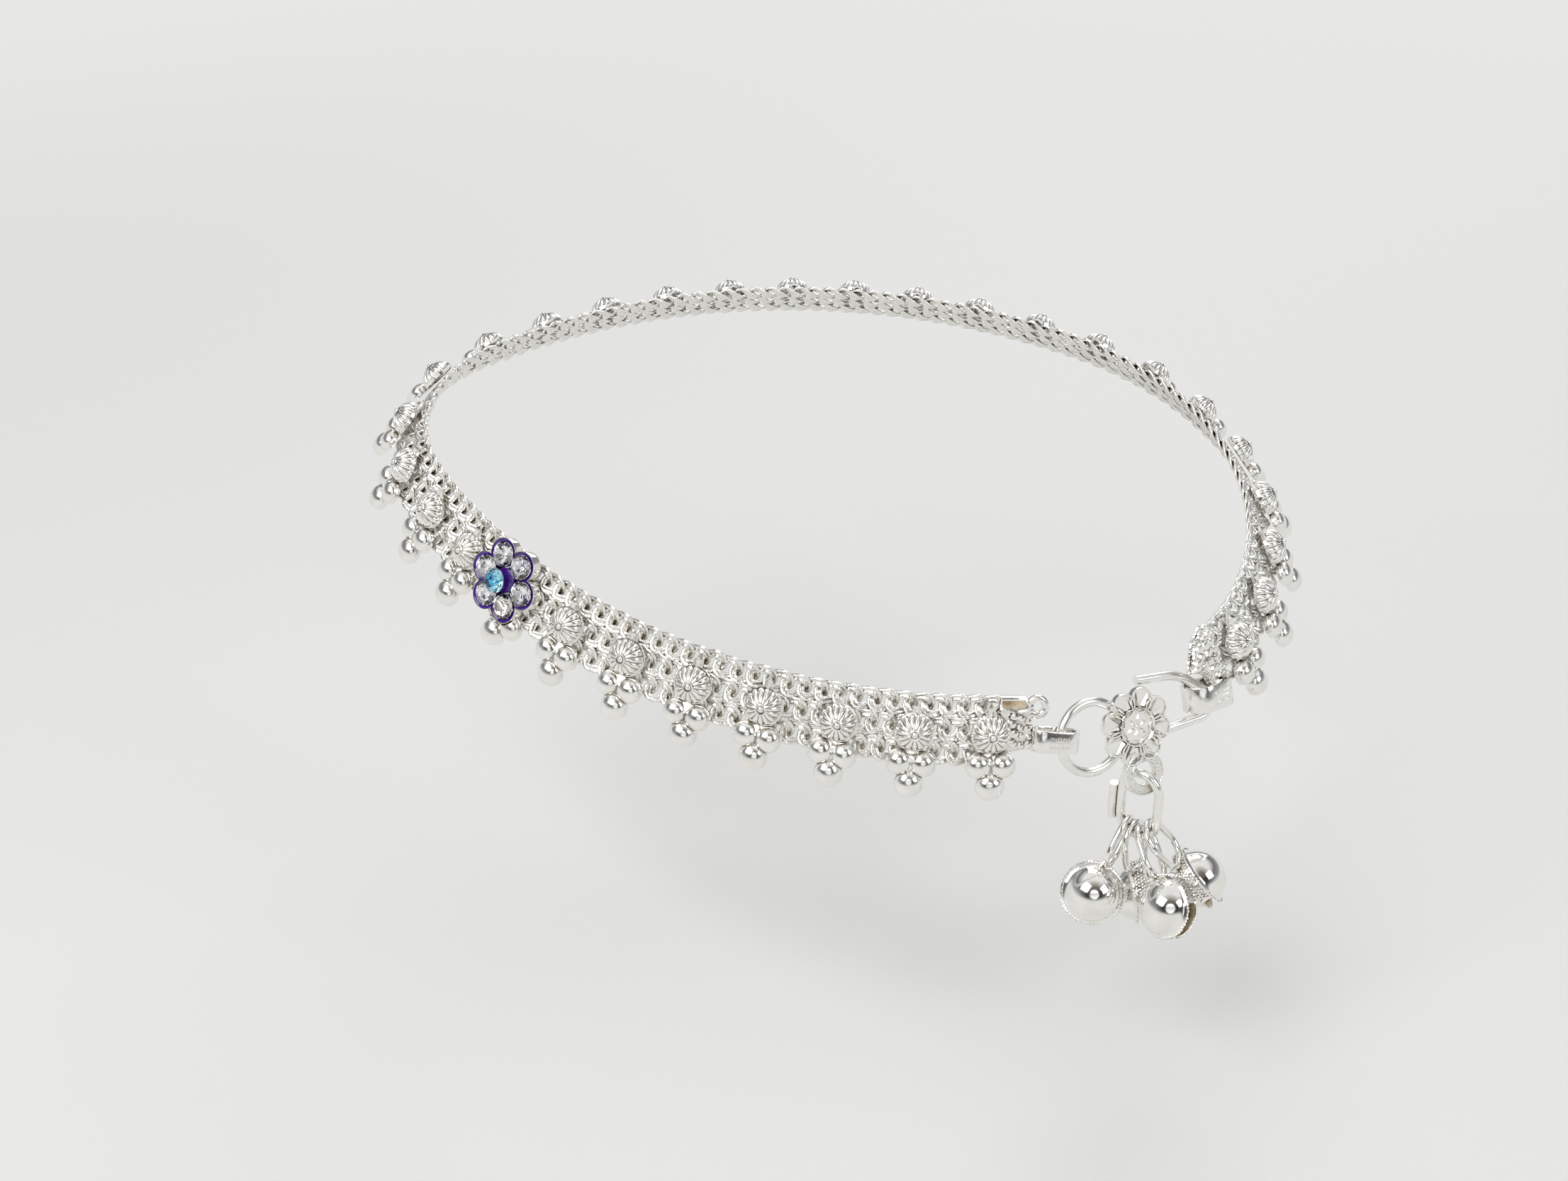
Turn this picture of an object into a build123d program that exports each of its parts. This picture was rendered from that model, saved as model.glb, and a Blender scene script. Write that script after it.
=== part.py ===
from build123d import *
import math
import os

"""A payal anklet: a flared band of three soldered chain rows with stamped drops, one enamelled
flower, a flower-shaped S-hook clasp and a hanging bunch of ghungroo bells.

Frame: +Z up, +X towards the toes, the origin at the middle of the loop, where the ankle is.
The loop lies in a plane that is tilted as the anklet sits on the ankle.
Places along the band are arc lengths in mm from the heel, the near side (-Y) first. At each
one the local axes are x along the band, y up the band and z out of it.
"""

# ---------------------------------------------------------------- loop, mm and degrees
LOOP_HALF_WIDTH = 34.0      # across the ankle, at the middle of the band
SIDE_RADIUS = 66.8          # long arcs on the near and far side
SIDE_SHIFT = 5.9            # their middle lies this far towards the toes
HEEL_RADIUS = 18.0
FRONT_RADIUS = 32.6
FLARE = 34.0                # the band opens downwards by this angle
SIDE_TILT = 14.9            # near side hangs lower
FRONT_TILT = 5.6            # front hangs lower

# ---------------------------------------------------------------- band
BAND_WIDTH = 7.5
ROWS = 3
ROW_CREST = 0.8             # half thickness in the middle of a chain row
ROW_VALLEY = 0.5            # half thickness where two rows meet
BAND_EDGE = 0.25            # how far the outer rows round out past the valleys
LEFT_END = 86.2             # band's ends, either side of the clasp
RIGHT_END = 113.2

# ---------------------------------------------------------------- stamped drops
FLOWER_PLACE = 30.75
FLOWER_LEAD = 1.05          # the even spacing runs from this far past the flower's middle
FIRST_RIGHT_DROP = 116.2
DROPS_RIGHT = 23            # from the clasp round the front, far side and heel to the flower
DROPS_LEFT = 7              # between the flower and the clasp
DROP_SEAT = ROW_CREST + 0.06
PLATE_THICK = 0.45
SEAT_MARGIN = 0.08          # flat plate showing round a dome's foot
DOME_RADIUS = 1.95
DOME_HEIGHT = 1.35
DOME_UP = -0.2              # dome centre, measured from the middle of the band
DOME_FLUTES = 14
FLUTE_DEPTH = 0.16
# rings of a fluted dome: share of the climb, share of the flutes' depth left there
DOME_RINGS = [(0, 1.0), (0.45, 0.75), (0.86, 0.0)]
BOSS_RADIUS = 0.34
TAB_HALF_WIDTH = 0.75
TAB_TOP = 3.2
TAB_SHOULDER = 1.6
UPPER_BALL = 1.12           # radius of the two upper balls of the trefoil
LOWER_BALL = 1.25
BALL_SPREAD = 1.22
UPPER_BALL_UP = -3.45
LOWER_BALL_UP = -5.6
TREFOIL_RIM = 0.26
NECK_UP = 0.7               # the plate between dome and trefoil: above the upper balls, height
NECK_HEIGHT = 1.8
WELD = 0.02                 # how far a fused form sinks into what carries it

# ---------------------------------------------------------------- enamelled flower
PETALS = 6
PETAL_REACH = 2.94         # petal centre from the flower's middle
PETAL_RADIUS = 1.67
FLOWER_UP = 0.3
FLOWER_THICK = 1.05
SEAT_RADIUS = 1.38
SEAT_DEPTH = 0.55
ENAMEL_THICK = 0.14
ENAMEL_EDGE = 0.16
ENAMEL_MIDDLE = 1.2         # radius left free round the middle seat
STONE_RADIUS = 1.33
STONE_HEIGHT = 1.15
CENTRE_STONE_RADIUS = 1.23
CENTRE_STONE_HEIGHT = 1.3
CENTRE_POST_FOOT = 1.1      # radius where the middle seat leaves the face, and at its head
CENTRE_POST_HEAD = 1.45
CENTRE_POST_HEIGHT = 1.1
CENTRE_SEAT_DEPTH = 0.25
FLOWER_TREFOIL_UP = 0.1     # its trefoil from a plain drop's place below the flower's middle
FLOWER_TREFOIL_ALONG = 1.5
FLOWER_TREFOIL_TURN = -20.0 # about the trefoil's own middle
TREFOIL_MIDDLE = -4.3       # height of that middle on a plain drop
FACETS = 8
TABLE_SHARE = 0.56          # of the stone's radius
CULET_SHARE = 0.3
CROWN_SHARE = 0.42          # of the stone's height
GIRDLE_SHARE = 0.06
GAP = 0.05

# ---------------------------------------------------------------- end caps and straps
STRAP_WALL = 0.45
# each strap: place along the band, up, out, tilt, length, height, depth
LEFT_STRAP = (91.8, -1.4, 0.25, -10.0, 5.3, 2.25, 2.9)
RIGHT_STRAP = (109.85, -2.7, 0.55, -14.0, 5.8, 2.7, 4.2)
CAP_THICK = 1.1
# cap outlines from the band's end: distance past the end, height up the band
LEFT_CAP = [(0.05, 3.6), (2.5, 3.5), (3.2, 2.6), (3.1, 0.6), (3.4, -0.2), (3.3, -1.7), (1.2, -2.2),
            (0.05, -2.8)]
RIGHT_CAP = [(0.05, 3.6), (0.6, 3.6), (2.3, 2.9), (3.5, 1.5), (4.2, 0.6), (3.0, 0.0), (2.0, -1.2),
             (1.7, -3.5), (0.05, -3.6)]
END_RING_ALONG = 3.9
END_RING_UP = 2.35
END_RING_RADIUS = 0.87
END_RING_WIRE = 0.4

# ---------------------------------------------------------------- clasp
CLASP_PLACE = 101.5
CLASP_UP = -2.6
CLASP_SINK = 1.3            # the straight clasp cuts the corner of the curved loop
HOOK_WIRE = 0.52
CATCH_RADIUS = 3.7
CATCH_X = -5.5
CATCH_START = 50.0          # the catch's arc runs anticlockwise between these headings
CATCH_END = 300.0
CATCH_TAIL = 2.4            # straight runs from its two ends, behind the plate
CATCH_RUN = 2.2
BEND_X = 9.15
BEND_LOW = -2.75
BEND_HIGH = -0.1
HOOK_SHOULDER = (6.0, 2.9)
HOOK_TIP = (1.0, 3.95)
HOOK_CORNERS = [1.8, 1.3, 2.4, 6.0]     # radii of the leg's corners, catch to tip
PLATE_X = -0.45
PLATE_UP = -0.5
PLATE_BACK = 0.35
PLATE_FRONT = 1.0
PLATE_PETALS = 8
PLATE_TURN = 22.5
PLATE_PETAL_RADIUS = 1.4
PLATE_PETAL_REACH = 2.8
PLATE_DISC = 2.15
PLATE_DISC_RISE = 0.2
PLATE_DISC_RIM = 0.26
GROOVE_REACH = 3.1          # middle of the groove between two petals
GROOVE_LENGTH = 2.4
GROOVE_SIDE = 0.4
EYELET_DROP = 5.2
EYELET_X = -0.2
EYELET_RADIUS = 2.35
EYELET_HOLE = 1.3
EYELET_BACK = 0.1

# ---------------------------------------------------------------- hanging bells
RING_HEADING = -28.0        # direction of the jump ring's plane about Z
RING_WIRE = 0.5
RING_HALF_WIDTH = 2.15
RING_TOP = -0.15
RING_BOTTOM = -7.9
LAP_TOP = -2.6              # where the overlapping end of the ring is cut
LAP_ANGLE = 20.0            # how far it follows the ring's bottom curve
LAP_OFFSET = 0.99           # from the ring's wire, as a share of the wire's thickness
BELL_RADIUS = 3.05
BELL_WALL = 0.35
SEAM_RIM = 0.26
SEAM_THICK = 1.6
SLOT_WIDTH = 1.0
SLOT_TOP = -0.8
LOOP_WIRE = 0.36
LOOP_HALF = 2.0
LOOP_FOOT = 3.15            # wire centre at the bell, from the bell's middle
HANG = 7.9                  # jump ring's wire from the bell's middle
LOOP_SLACK = 0.22           # free room between the two wires
LOOP_HEAD = HANG + RING_WIRE + LOOP_WIRE + LOOP_SLACK
# name, place along the ring's bottom, lean from straight down, heading of the lean, turn of the
# bell about its loop, turn of the seam from there
BELLS = [
    ("bell_1", -1.3, 40.0, -125.0, 9.0, -68.0),
    ("bell_2", 1.06, 55.5, -64.0, 7.0, -105.0),
    ("bell_3", 1.8, 42.0, 9.0, 22.0, 18.0),
    ("bell_4", -0.34, -8.5, -174.0, 0.0, 38.0),
]


# ================================================================ the loop
def loop_arcs():
    """The loop's five tangent arcs, heel first: centre x, centre y, radius, start, end angle."""
    rise = SIDE_RADIUS - LOOP_HALF_WIDTH
    heel_run = math.sqrt((SIDE_RADIUS - HEEL_RADIUS) ** 2 - rise ** 2)
    front_run = math.sqrt((SIDE_RADIUS - FRONT_RADIUS) ** 2 - rise ** 2)
    heel_x = SIDE_SHIFT - heel_run
    front_x = SIDE_SHIFT + front_run
    heel_turn = 180 + math.degrees(math.atan2(rise, heel_run))
    front_turn = 360 - math.degrees(math.atan2(rise, front_run))
    return [
        (heel_x, 0, HEEL_RADIUS, 180, heel_turn),
        (SIDE_SHIFT, rise, SIDE_RADIUS, heel_turn, front_turn),
        (front_x, 0, FRONT_RADIUS, front_turn, 720 - front_turn),
        (SIDE_SHIFT, -rise, SIDE_RADIUS, 720 - front_turn, 720 - heel_turn),
        (heel_x, 0, HEEL_RADIUS, 720 - heel_turn, 540),
    ]


ARCS = loop_arcs()


def arc_length(arc):
    return arc[2] * math.radians(arc[4] - arc[3])


LOOP_LENGTH = sum(arc_length(arc) for arc in ARCS)


def loop_plane():
    """The tilted plane of the loop, in the part's frame."""
    side = math.radians(SIDE_TILT)
    front = math.radians(FRONT_TILT)
    along = (math.cos(front), 0, -math.sin(front))
    normal = (math.sin(front) * math.cos(side), -math.sin(side), math.cos(front) * math.cos(side))
    return Plane(origin=(0, 0, 0), x_dir=along, z_dir=normal)


LOOP = loop_plane().location


def place(station, along=0.0, up=0.0, out=0.0, sink=0.0):
    """Location on the band: x along it, y up it, z out of it."""
    station = station % LOOP_LENGTH
    for arc in ARCS:
        if station <= arc_length(arc):
            break
        station -= arc_length(arc)
    x, y, radius, start, _ = arc
    angle = math.radians(start) + station / radius
    flare = math.radians(FLARE)
    spot = (x + (radius - sink) * math.cos(angle), y + (radius - sink) * math.sin(angle), 0)
    tangent = (-math.sin(angle), math.cos(angle), 0)
    outward = (math.cos(angle) * math.cos(flare), math.sin(angle) * math.cos(flare), math.sin(flare))
    local = Plane(origin=spot, x_dir=tangent, z_dir=outward).location
    return LOOP * local * Location((along, up, out))


# ================================================================ band
def band_section():
    """The three rows seen end on: x through the thickness, y up the band."""
    half = BAND_WIDTH / 2 - BAND_EDGE
    joints = [half - 2 * half * row / ROWS for row in range(ROWS + 1)]
    edges = []
    for high, low in zip(joints, joints[1:]):
        middle = (high + low) / 2
        edges.append(ThreePointArc((ROW_VALLEY, high), (ROW_CREST, middle), (ROW_VALLEY, low)))
        edges.append(ThreePointArc((-ROW_VALLEY, high), (-ROW_CREST, middle), (-ROW_VALLEY, low)))
    for side in (1, -1):
        tip = (0, side * (half + BAND_EDGE))
        edges.append(ThreePointArc((-ROW_VALLEY, side * half), tip, (ROW_VALLEY, side * half)))
    return make_face(edges)


def band():
    """One solid of revolution for each arc that the band runs along, fused end to end."""
    section = band_section()
    flare = math.radians(FLARE)
    result = None
    passed = 0.0
    for _ in range(2):
        for arc in ARCS:
            x, y, radius, start, _ = arc
            first = max(RIGHT_END, passed)
            last = min(LOOP_LENGTH + LEFT_END, passed + arc_length(arc))
            if last - first > 0.01:
                begin = start + math.degrees((first - passed) / radius)
                sweep_angle = math.degrees((last - first) / radius)
                angle = math.radians(begin)
                tangent = Vector(-math.sin(angle), math.cos(angle), 0)
                outward = (math.cos(angle) * math.cos(flare), math.sin(angle) * math.cos(flare),
                           math.sin(flare))
                spot = (x + radius * math.cos(angle), y + radius * math.sin(angle), 0)
                profile = Plane(origin=spot, x_dir=outward, z_dir=-tangent) * section
                axis = Axis((x, y, 0), (0, 0, 1))
                stretch = revolve(profile, axis, revolution_arc=sweep_angle)
                result = stretch if result is None else result + stretch
            passed += arc_length(arc)
    return LOOP * result


# ================================================================ stamped drops
def dome(radius, height):
    """A domed cap standing on z = 0."""
    half = math.sqrt(0.5)
    outline = [
        ThreePointArc((radius, 0), (radius * half, height * half), (0, height)),
        Line((0, height), (0, 0)),
        Line((0, 0), (radius, 0)),
    ]
    return revolve(Plane.XZ * make_face(outline), Axis.Z)


def fluted_dome():
    """A faceted dome with radial flutes, standing on z = 0, and a small boss on top."""
    levels = []
    for share, depth in DOME_RINGS:
        climb = math.radians(90 * share)
        ring = []
        for side in range(2 * DOME_FLUTES):
            reach = DOME_RADIUS * math.cos(climb) - (side % 2) * depth * FLUTE_DEPTH
            turn = math.pi * side / DOME_FLUTES
            ring.append((reach * math.cos(turn), reach * math.sin(turn),
                         DOME_HEIGHT * math.sin(climb)))
        levels.append(ring)
    faces = [Face(Wire.make_polygon(levels[0])), Face(Wire.make_polygon(levels[-1]))]
    for low, high in zip(levels, levels[1:]):
        for side in range(2 * DOME_FLUTES):
            after = (side + 1) % (2 * DOME_FLUTES)
            faces.append(Face(Wire.make_polygon([low[side], low[after], high[side]])))
            faces.append(Face(Wire.make_polygon([low[after], high[after], high[side]])))
    boss = Pos(Z=DOME_HEIGHT * 0.9) * dome(BOSS_RADIUS, BOSS_RADIUS)
    return Solid(Shell(faces)) + boss


def trefoil_spots(shift=0.0):
    """The three balls: x, y, radius."""
    return [
        (-BALL_SPREAD, UPPER_BALL_UP + shift, UPPER_BALL),
        (BALL_SPREAD, UPPER_BALL_UP + shift, UPPER_BALL),
        (0, LOWER_BALL_UP + shift, LOWER_BALL),
    ]


def trefoil(shift=0.0):
    """A flat plate with a rim and three half balls on it, lying on z = 0."""
    balls = trefoil_spots(shift)
    outline = Pos(0, UPPER_BALL_UP + shift + NECK_UP) * Rectangle(2 * BALL_SPREAD, NECK_HEIGHT)
    for x, y, radius in balls:
        outline += Pos(x, y) * Circle(radius + TREFOIL_RIM)
    body = extrude(outline, PLATE_THICK)
    for x, y, radius in balls:
        body += Pos(x, y, PLATE_THICK - WELD) * dome(radius, radius)
    return body


def plain_drop():
    """Fluted dome, pointed tab above it and trefoil below it: one stamped and soldered piece."""
    tab = make_face(Polyline(
        (-TAB_HALF_WIDTH, DOME_UP), (TAB_HALF_WIDTH, DOME_UP), (TAB_HALF_WIDTH, TAB_SHOULDER),
        (0, TAB_TOP), (-TAB_HALF_WIDTH, TAB_SHOULDER), close=True))
    seat = Pos(0, DOME_UP) * Circle(DOME_RADIUS + SEAT_MARGIN)
    body = extrude(seat + tab, PLATE_THICK) + trefoil()
    body += Pos(0, DOME_UP, PLATE_THICK - WELD) * fluted_dome()
    return Pos(Z=DROP_SEAT) * body


def drop_places():
    """Stations of the plain drops, from the clasp's right side all round to its left side."""
    flower = FLOWER_PLACE + FLOWER_LEAD + LOOP_LENGTH
    pitch = (flower - FIRST_RIGHT_DROP) / DROPS_RIGHT
    right = [FIRST_RIGHT_DROP + pitch * number for number in range(DROPS_RIGHT)]
    left = [flower + pitch * (number + 1) for number in range(DROPS_LEFT)]
    return right + left


# ================================================================ enamelled flower
def around(count, reach, turn=0.0):
    """Points evenly round a circle."""
    for number in range(count):
        angle = math.radians(turn + 360 * number / count)
        yield reach * math.cos(angle), reach * math.sin(angle)


def petal_outline(edge):
    outline = Circle(PETAL_REACH)
    for x, y in around(PETALS, PETAL_REACH):
        outline += Pos(x, y) * Circle(PETAL_RADIUS - edge)
    return outline


def flower_trefoil():
    """The flower's trefoil, turned about its middle and cut flat where the petals cover it."""
    middle = TREFOIL_MIDDLE + FLOWER_TREFOIL_UP - FLOWER_UP
    hang = Pos(FLOWER_TREFOIL_ALONG, middle) * Rot(Z=FLOWER_TREFOIL_TURN)
    cover = Pos(Z=FLOWER_THICK) * extrude(petal_outline(-GAP), UPPER_BALL)
    return hang * trefoil(-TREFOIL_MIDDLE) - cover


def flower_setting():
    """The silver flower with a seat in each petal, a raised middle seat and its trefoil."""
    body = extrude(petal_outline(0), FLOWER_THICK) + flower_trefoil()
    for x, y in around(PETALS, PETAL_REACH):
        body -= Pos(x, y, FLOWER_THICK - SEAT_DEPTH) * extrude(Circle(SEAT_RADIUS), 2)
    cone = Cone(CENTRE_POST_FOOT, CENTRE_POST_HEAD, CENTRE_POST_HEIGHT,
                align=(Align.CENTER, Align.CENTER, Align.MIN))
    post = Pos(Z=FLOWER_THICK - WELD / 2) * cone
    seat_floor = FLOWER_THICK + CENTRE_POST_HEIGHT - CENTRE_SEAT_DEPTH
    seat = Pos(Z=seat_floor) * extrude(Circle(CENTRE_STONE_RADIUS + GAP), 1)
    return body + post - seat


def flower_enamel():
    """The thin enamel on the flower's face, between the silver edge and the stones."""
    face = petal_outline(ENAMEL_EDGE)
    for x, y in around(PETALS, PETAL_REACH):
        face -= Pos(x, y) * Circle(SEAT_RADIUS + WELD)
    face -= Circle(ENAMEL_MIDDLE)
    return Pos(Z=FLOWER_THICK + WELD / 2) * extrude(face, ENAMEL_THICK)


def cut_stone(radius, height):
    """A round cut stone: flat table, eight crown kites as triangles, girdle and pavilion."""
    table = TABLE_SHARE * radius
    crown = CROWN_SHARE * height
    girdle = GIRDLE_SHARE * height
    half = 180 / FACETS

    def ring(reach, level, turn):
        return [(x, y, level) for x, y in around(FACETS, reach, turn)]

    top = ring(table, height, half)
    upper = ring(radius, height - crown, 0)
    lower = ring(radius, height - crown - girdle, 0)
    bottom = ring(CULET_SHARE * radius, 0, 0)
    faces = [Face(Wire.make_polygon(top)), Face(Wire.make_polygon(bottom))]
    for number in range(FACETS):
        after = (number + 1) % FACETS
        faces.append(Face(Wire.make_polygon([upper[number], upper[after], top[number]])))
        faces.append(Face(Wire.make_polygon([top[number], upper[after], top[after]])))
        for high, low in ((upper, lower), (lower, bottom)):
            corners = [high[number], high[after], low[after], low[number]]
            faces.append(Face(Wire.make_polygon(corners)))
    return Solid(Shell(faces))


def flower_stones():
    """Clear stones in the petals and the blue one on the raised seat."""
    stones = {}
    floor = FLOWER_THICK - SEAT_DEPTH + GAP
    for number, (x, y) in enumerate(around(PETALS, PETAL_REACH), start=1):
        stones[f"flower_stone_{number}"] = Pos(x, y, floor) * cut_stone(STONE_RADIUS, STONE_HEIGHT)
    rest = FLOWER_THICK + CENTRE_POST_HEIGHT - CENTRE_SEAT_DEPTH + GAP
    stones["flower_stone_centre"] = Pos(Z=rest) * cut_stone(CENTRE_STONE_RADIUS,
                                                            CENTRE_STONE_HEIGHT)
    return stones


# ================================================================ end caps and straps
def strap(at, up, out, tilt, length, height, depth):
    """A flat strap folded into a loop: long along the band, its opening runs up it."""
    outer = SlotOverall(length, depth)
    inner = SlotOverall(length - 2 * STRAP_WALL, depth - 2 * STRAP_WALL)
    ring = extrude(outer - inner, height / 2, both=True)
    return place(at, up=up, out=out) * Rot(Z=tilt) * Rot(X=90) * ring


def cap_plate(outline, side):
    """The plate that closes the band's end; side is 1 at the left end and -1 at the right."""
    face = make_face(Polyline(*[(side * x, y) for x, y in outline], close=True))
    return extrude(face, CAP_THICK / 2, both=True)


def end_cap_left():
    body = place(LEFT_END) * cap_plate(LEFT_CAP, 1) + strap(*LEFT_STRAP)
    end_ring = Torus(END_RING_RADIUS, END_RING_WIRE)
    return body + place(LEFT_END, along=END_RING_ALONG, up=END_RING_UP) * end_ring


def end_cap_right():
    return place(RIGHT_END) * cap_plate(RIGHT_CAP, -1) + strap(*RIGHT_STRAP)


# ================================================================ clasp
def clasp_place():
    return place(CLASP_PLACE, sink=CLASP_SINK) * Location((0, CLASP_UP, 0))


def catch_point(heading, run=0.0):
    """A point on the catch's circle, moved on along the wire by run."""
    angle = math.radians(heading)
    return (CATCH_X + CATCH_RADIUS * math.cos(angle) + run * math.sin(angle),
            CATCH_RADIUS * math.sin(angle) - run * math.cos(angle))


def hook_path():
    """The one bent wire: round catch on the left, leg behind the plate, open hook on the right."""
    start = catch_point(CATCH_START)
    end = catch_point(CATCH_END)
    catch = ThreePointArc(start, catch_point(180), end)
    tail = Line(catch_point(CATCH_START, CATCH_TAIL), start)
    leg = FilletPolyline(end, catch_point(CATCH_END, -CATCH_RUN), (BEND_X, BEND_LOW),
                         (BEND_X, BEND_HIGH), HOOK_SHOULDER, HOOK_TIP, radius=HOOK_CORNERS)
    return Wire([tail, catch] + list(leg.edges()))


def hook_wire():
    path = hook_path()
    return sweep(Plane(path @ 0, z_dir=path % 0) * Circle(HOOK_WIRE), path=path)


def clasp_plate():
    """The eight-petalled plate with its raised and rimmed disc."""
    outline = Circle(PLATE_PETAL_REACH)
    for x, y in around(PLATE_PETALS, PLATE_PETAL_REACH, PLATE_TURN):
        outline += Pos(x, y) * Circle(PLATE_PETAL_RADIUS)
    body = Pos(Z=PLATE_BACK) * extrude(outline, PLATE_FRONT - PLATE_BACK)
    groove = Pos(GROOVE_REACH, 0, PLATE_FRONT) * Rot(X=45) * Box(GROOVE_LENGTH, GROOVE_SIDE,
                                                                 GROOVE_SIDE)
    for number in range(PLATE_PETALS):
        body -= Rot(Z=PLATE_TURN + 360 * number / PLATE_PETALS) * groove
    body += Pos(Z=PLATE_FRONT - WELD) * extrude(Circle(PLATE_DISC), PLATE_DISC_RISE + WELD)
    body += Pos(Z=PLATE_FRONT) * Torus(PLATE_DISC - PLATE_DISC_RIM / 2, PLATE_DISC_RIM)
    return body


def eyelet():
    ring = Circle(EYELET_RADIUS) - Circle(EYELET_HOLE)
    return Pos(EYELET_X, -EYELET_DROP, EYELET_BACK) * extrude(ring, PLATE_FRONT - EYELET_BACK)


def clasp_hook():
    plate = Pos(PLATE_X, PLATE_UP) * (clasp_plate() + eyelet())
    return clasp_place() * (hook_wire() + plate)


def pivot():
    """Middle of the eyelet's hole, with z along the hole's axis, out of the clasp."""
    middle = (EYELET_BACK + PLATE_FRONT) / 2
    return clasp_place() * Location((PLATE_X + EYELET_X, PLATE_UP - EYELET_DROP, middle))


# ================================================================ hanging bells
def stadium(half_width, low, high):
    """A closed round-ended path in the XZ plane, from z low to z high."""
    w = half_width
    return Wire([
        Line((w, 0, low + w), (w, 0, high - w)),
        ThreePointArc((w, 0, high - w), (0, 0, high), (-w, 0, high - w)),
        Line((-w, 0, high - w), (-w, 0, low + w)),
        ThreePointArc((-w, 0, low + w), (0, 0, low), (w, 0, low + w)),
    ])


def wire_along(path, radius):
    return sweep(Plane(path @ 0, z_dir=path % 0) * Circle(radius), path=path)


def jump_ring():
    """An oval ring whose end runs on outside its left side, where it is cut."""
    ring = wire_along(stadium(RING_HALF_WIDTH, RING_BOTTOM, RING_TOP), RING_WIRE)
    low = RING_BOTTOM + RING_HALF_WIDTH
    reach = RING_HALF_WIDTH + LAP_OFFSET * 2 * RING_WIRE
    slope = math.radians(LAP_ANGLE)
    start = (-reach * math.cos(slope), 0, low - reach * math.sin(slope))
    middle = (-reach * math.cos(slope / 2), 0, low - reach * math.sin(slope / 2))
    lap = Wire([
        ThreePointArc(start, middle, (-reach, 0, low)),
        Line((-reach, 0, low), (-reach, 0, LAP_TOP)),
    ])
    return Rot(Z=RING_HEADING) * (ring + wire_along(lap, RING_WIRE))


def bell_cups():
    """Two cups meeting in a rimmed seam, turned about X."""
    inner = BELL_RADIUS - BELL_WALL
    rim = BELL_RADIUS + SEAM_RIM
    side = SEAM_THICK / 2
    meet = math.sqrt(BELL_RADIUS ** 2 - side ** 2)
    slant = BELL_RADIUS * math.sqrt(0.5)
    outline = [
        ThreePointArc((-inner, 0), (0, inner), (inner, 0)),
        Line((inner, 0), (BELL_RADIUS, 0)),
        ThreePointArc((BELL_RADIUS, 0), (slant, slant), (side, meet)),
        Line((side, meet), (side, rim)),
        Line((side, rim), (-side, rim)),
        Line((-side, rim), (-side, meet)),
        ThreePointArc((-side, meet), (-slant, slant), (-BELL_RADIUS, 0)),
        Line((-BELL_RADIUS, 0), (-inner, 0)),
    ]
    return revolve(make_face(outline), Axis.X)


def bell(seam):
    """Two soldered cups with a slot below and a wire loop above; seam turns the cups under it."""
    deep = BELL_RADIUS + 1
    slot = Pos(Z=(SLOT_TOP - deep) / 2) * Box(SLOT_WIDTH, 2 * deep, deep + SLOT_TOP)
    loop = Rot(Z=90) * wire_along(stadium(LOOP_HALF, LOOP_FOOT, LOOP_HEAD), LOOP_WIRE)
    return Rot(Z=seam) * (bell_cups() - slot) + loop


def bell_place(along, lean, heading, turn):
    """A bell hung by its loop on the jump ring's bottom wire, leaning out by lean degrees."""
    ring_turn = math.radians(RING_HEADING)
    low = RING_BOTTOM + RING_HALF_WIDTH - math.sqrt(RING_HALF_WIDTH ** 2 - along ** 2)
    hold = Location((along * math.cos(ring_turn), along * math.sin(ring_turn), low))
    leaning = Rot(Z=heading) * Rot(Y=-lean) * Rot(Z=RING_HEADING - heading + turn)
    return hold * leaning * Pos(Z=-HANG)


def settle(pieces, pivot_location):
    """Turn the hanging pieces about the eyelet's axis so that they balance below it."""
    volume = sum(piece.volume for piece in pieces.values())
    middle = Vector(0, 0, 0)
    for piece in pieces.values():
        middle += piece.center(CenterOf.MASS) * (piece.volume / volume)
    spot = pivot_location.position
    axis = Plane(pivot_location).z_dir
    arm = middle - spot
    arm -= axis * arm.dot(axis)
    down = Vector(0, 0, -1)
    down -= axis * down.dot(axis)
    angle = math.degrees(math.atan2(arm.cross(down).dot(axis), arm.dot(down)))
    print("settle angle", round(angle, 3))
    turning = Axis(spot, axis)
    return {name: piece.rotate(turning, angle) for name, piece in pieces.items()}


def hanging_bells():
    spot = pivot()
    hang = Location(spot.position)
    pieces = {"jump_ring": hang * jump_ring()}
    for name, along, lean, heading, turn, seam in BELLS:
        pieces[name] = hang * bell_place(along, lean, heading, turn) * bell(seam)
    return settle(pieces, spot)


# ================================================================ everything
def build():
    nodes = {"band": band()}
    one_drop = plain_drop()
    for number, station in enumerate(drop_places(), start=1):
        nodes[f"drop_{number:02d}"] = place(station) * one_drop
    flower = place(FLOWER_PLACE, up=FLOWER_UP, out=DROP_SEAT)
    nodes["flower_setting"] = flower * flower_setting()
    nodes["flower_enamel"] = flower * flower_enamel()
    for name, stone in flower_stones().items():
        nodes[name] = flower * stone
    nodes["end_cap_left"] = end_cap_left()
    nodes["end_cap_right"] = end_cap_right()
    nodes["clasp_hook"] = clasp_hook()
    nodes.update(hanging_bells())
    return nodes


def main():
    os.makedirs("parts", exist_ok=True)
    for name, solid in build().items():
        export_step(solid, f"parts/{name}.step")
    spot = pivot()
    print("loop length", round(LOOP_LENGTH, 2))
    print("pivot mm", [round(value, 4) for value in spot.position])
    print("pivot axis", [round(value, 5) for value in Plane(spot).z_dir])


main()
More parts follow.
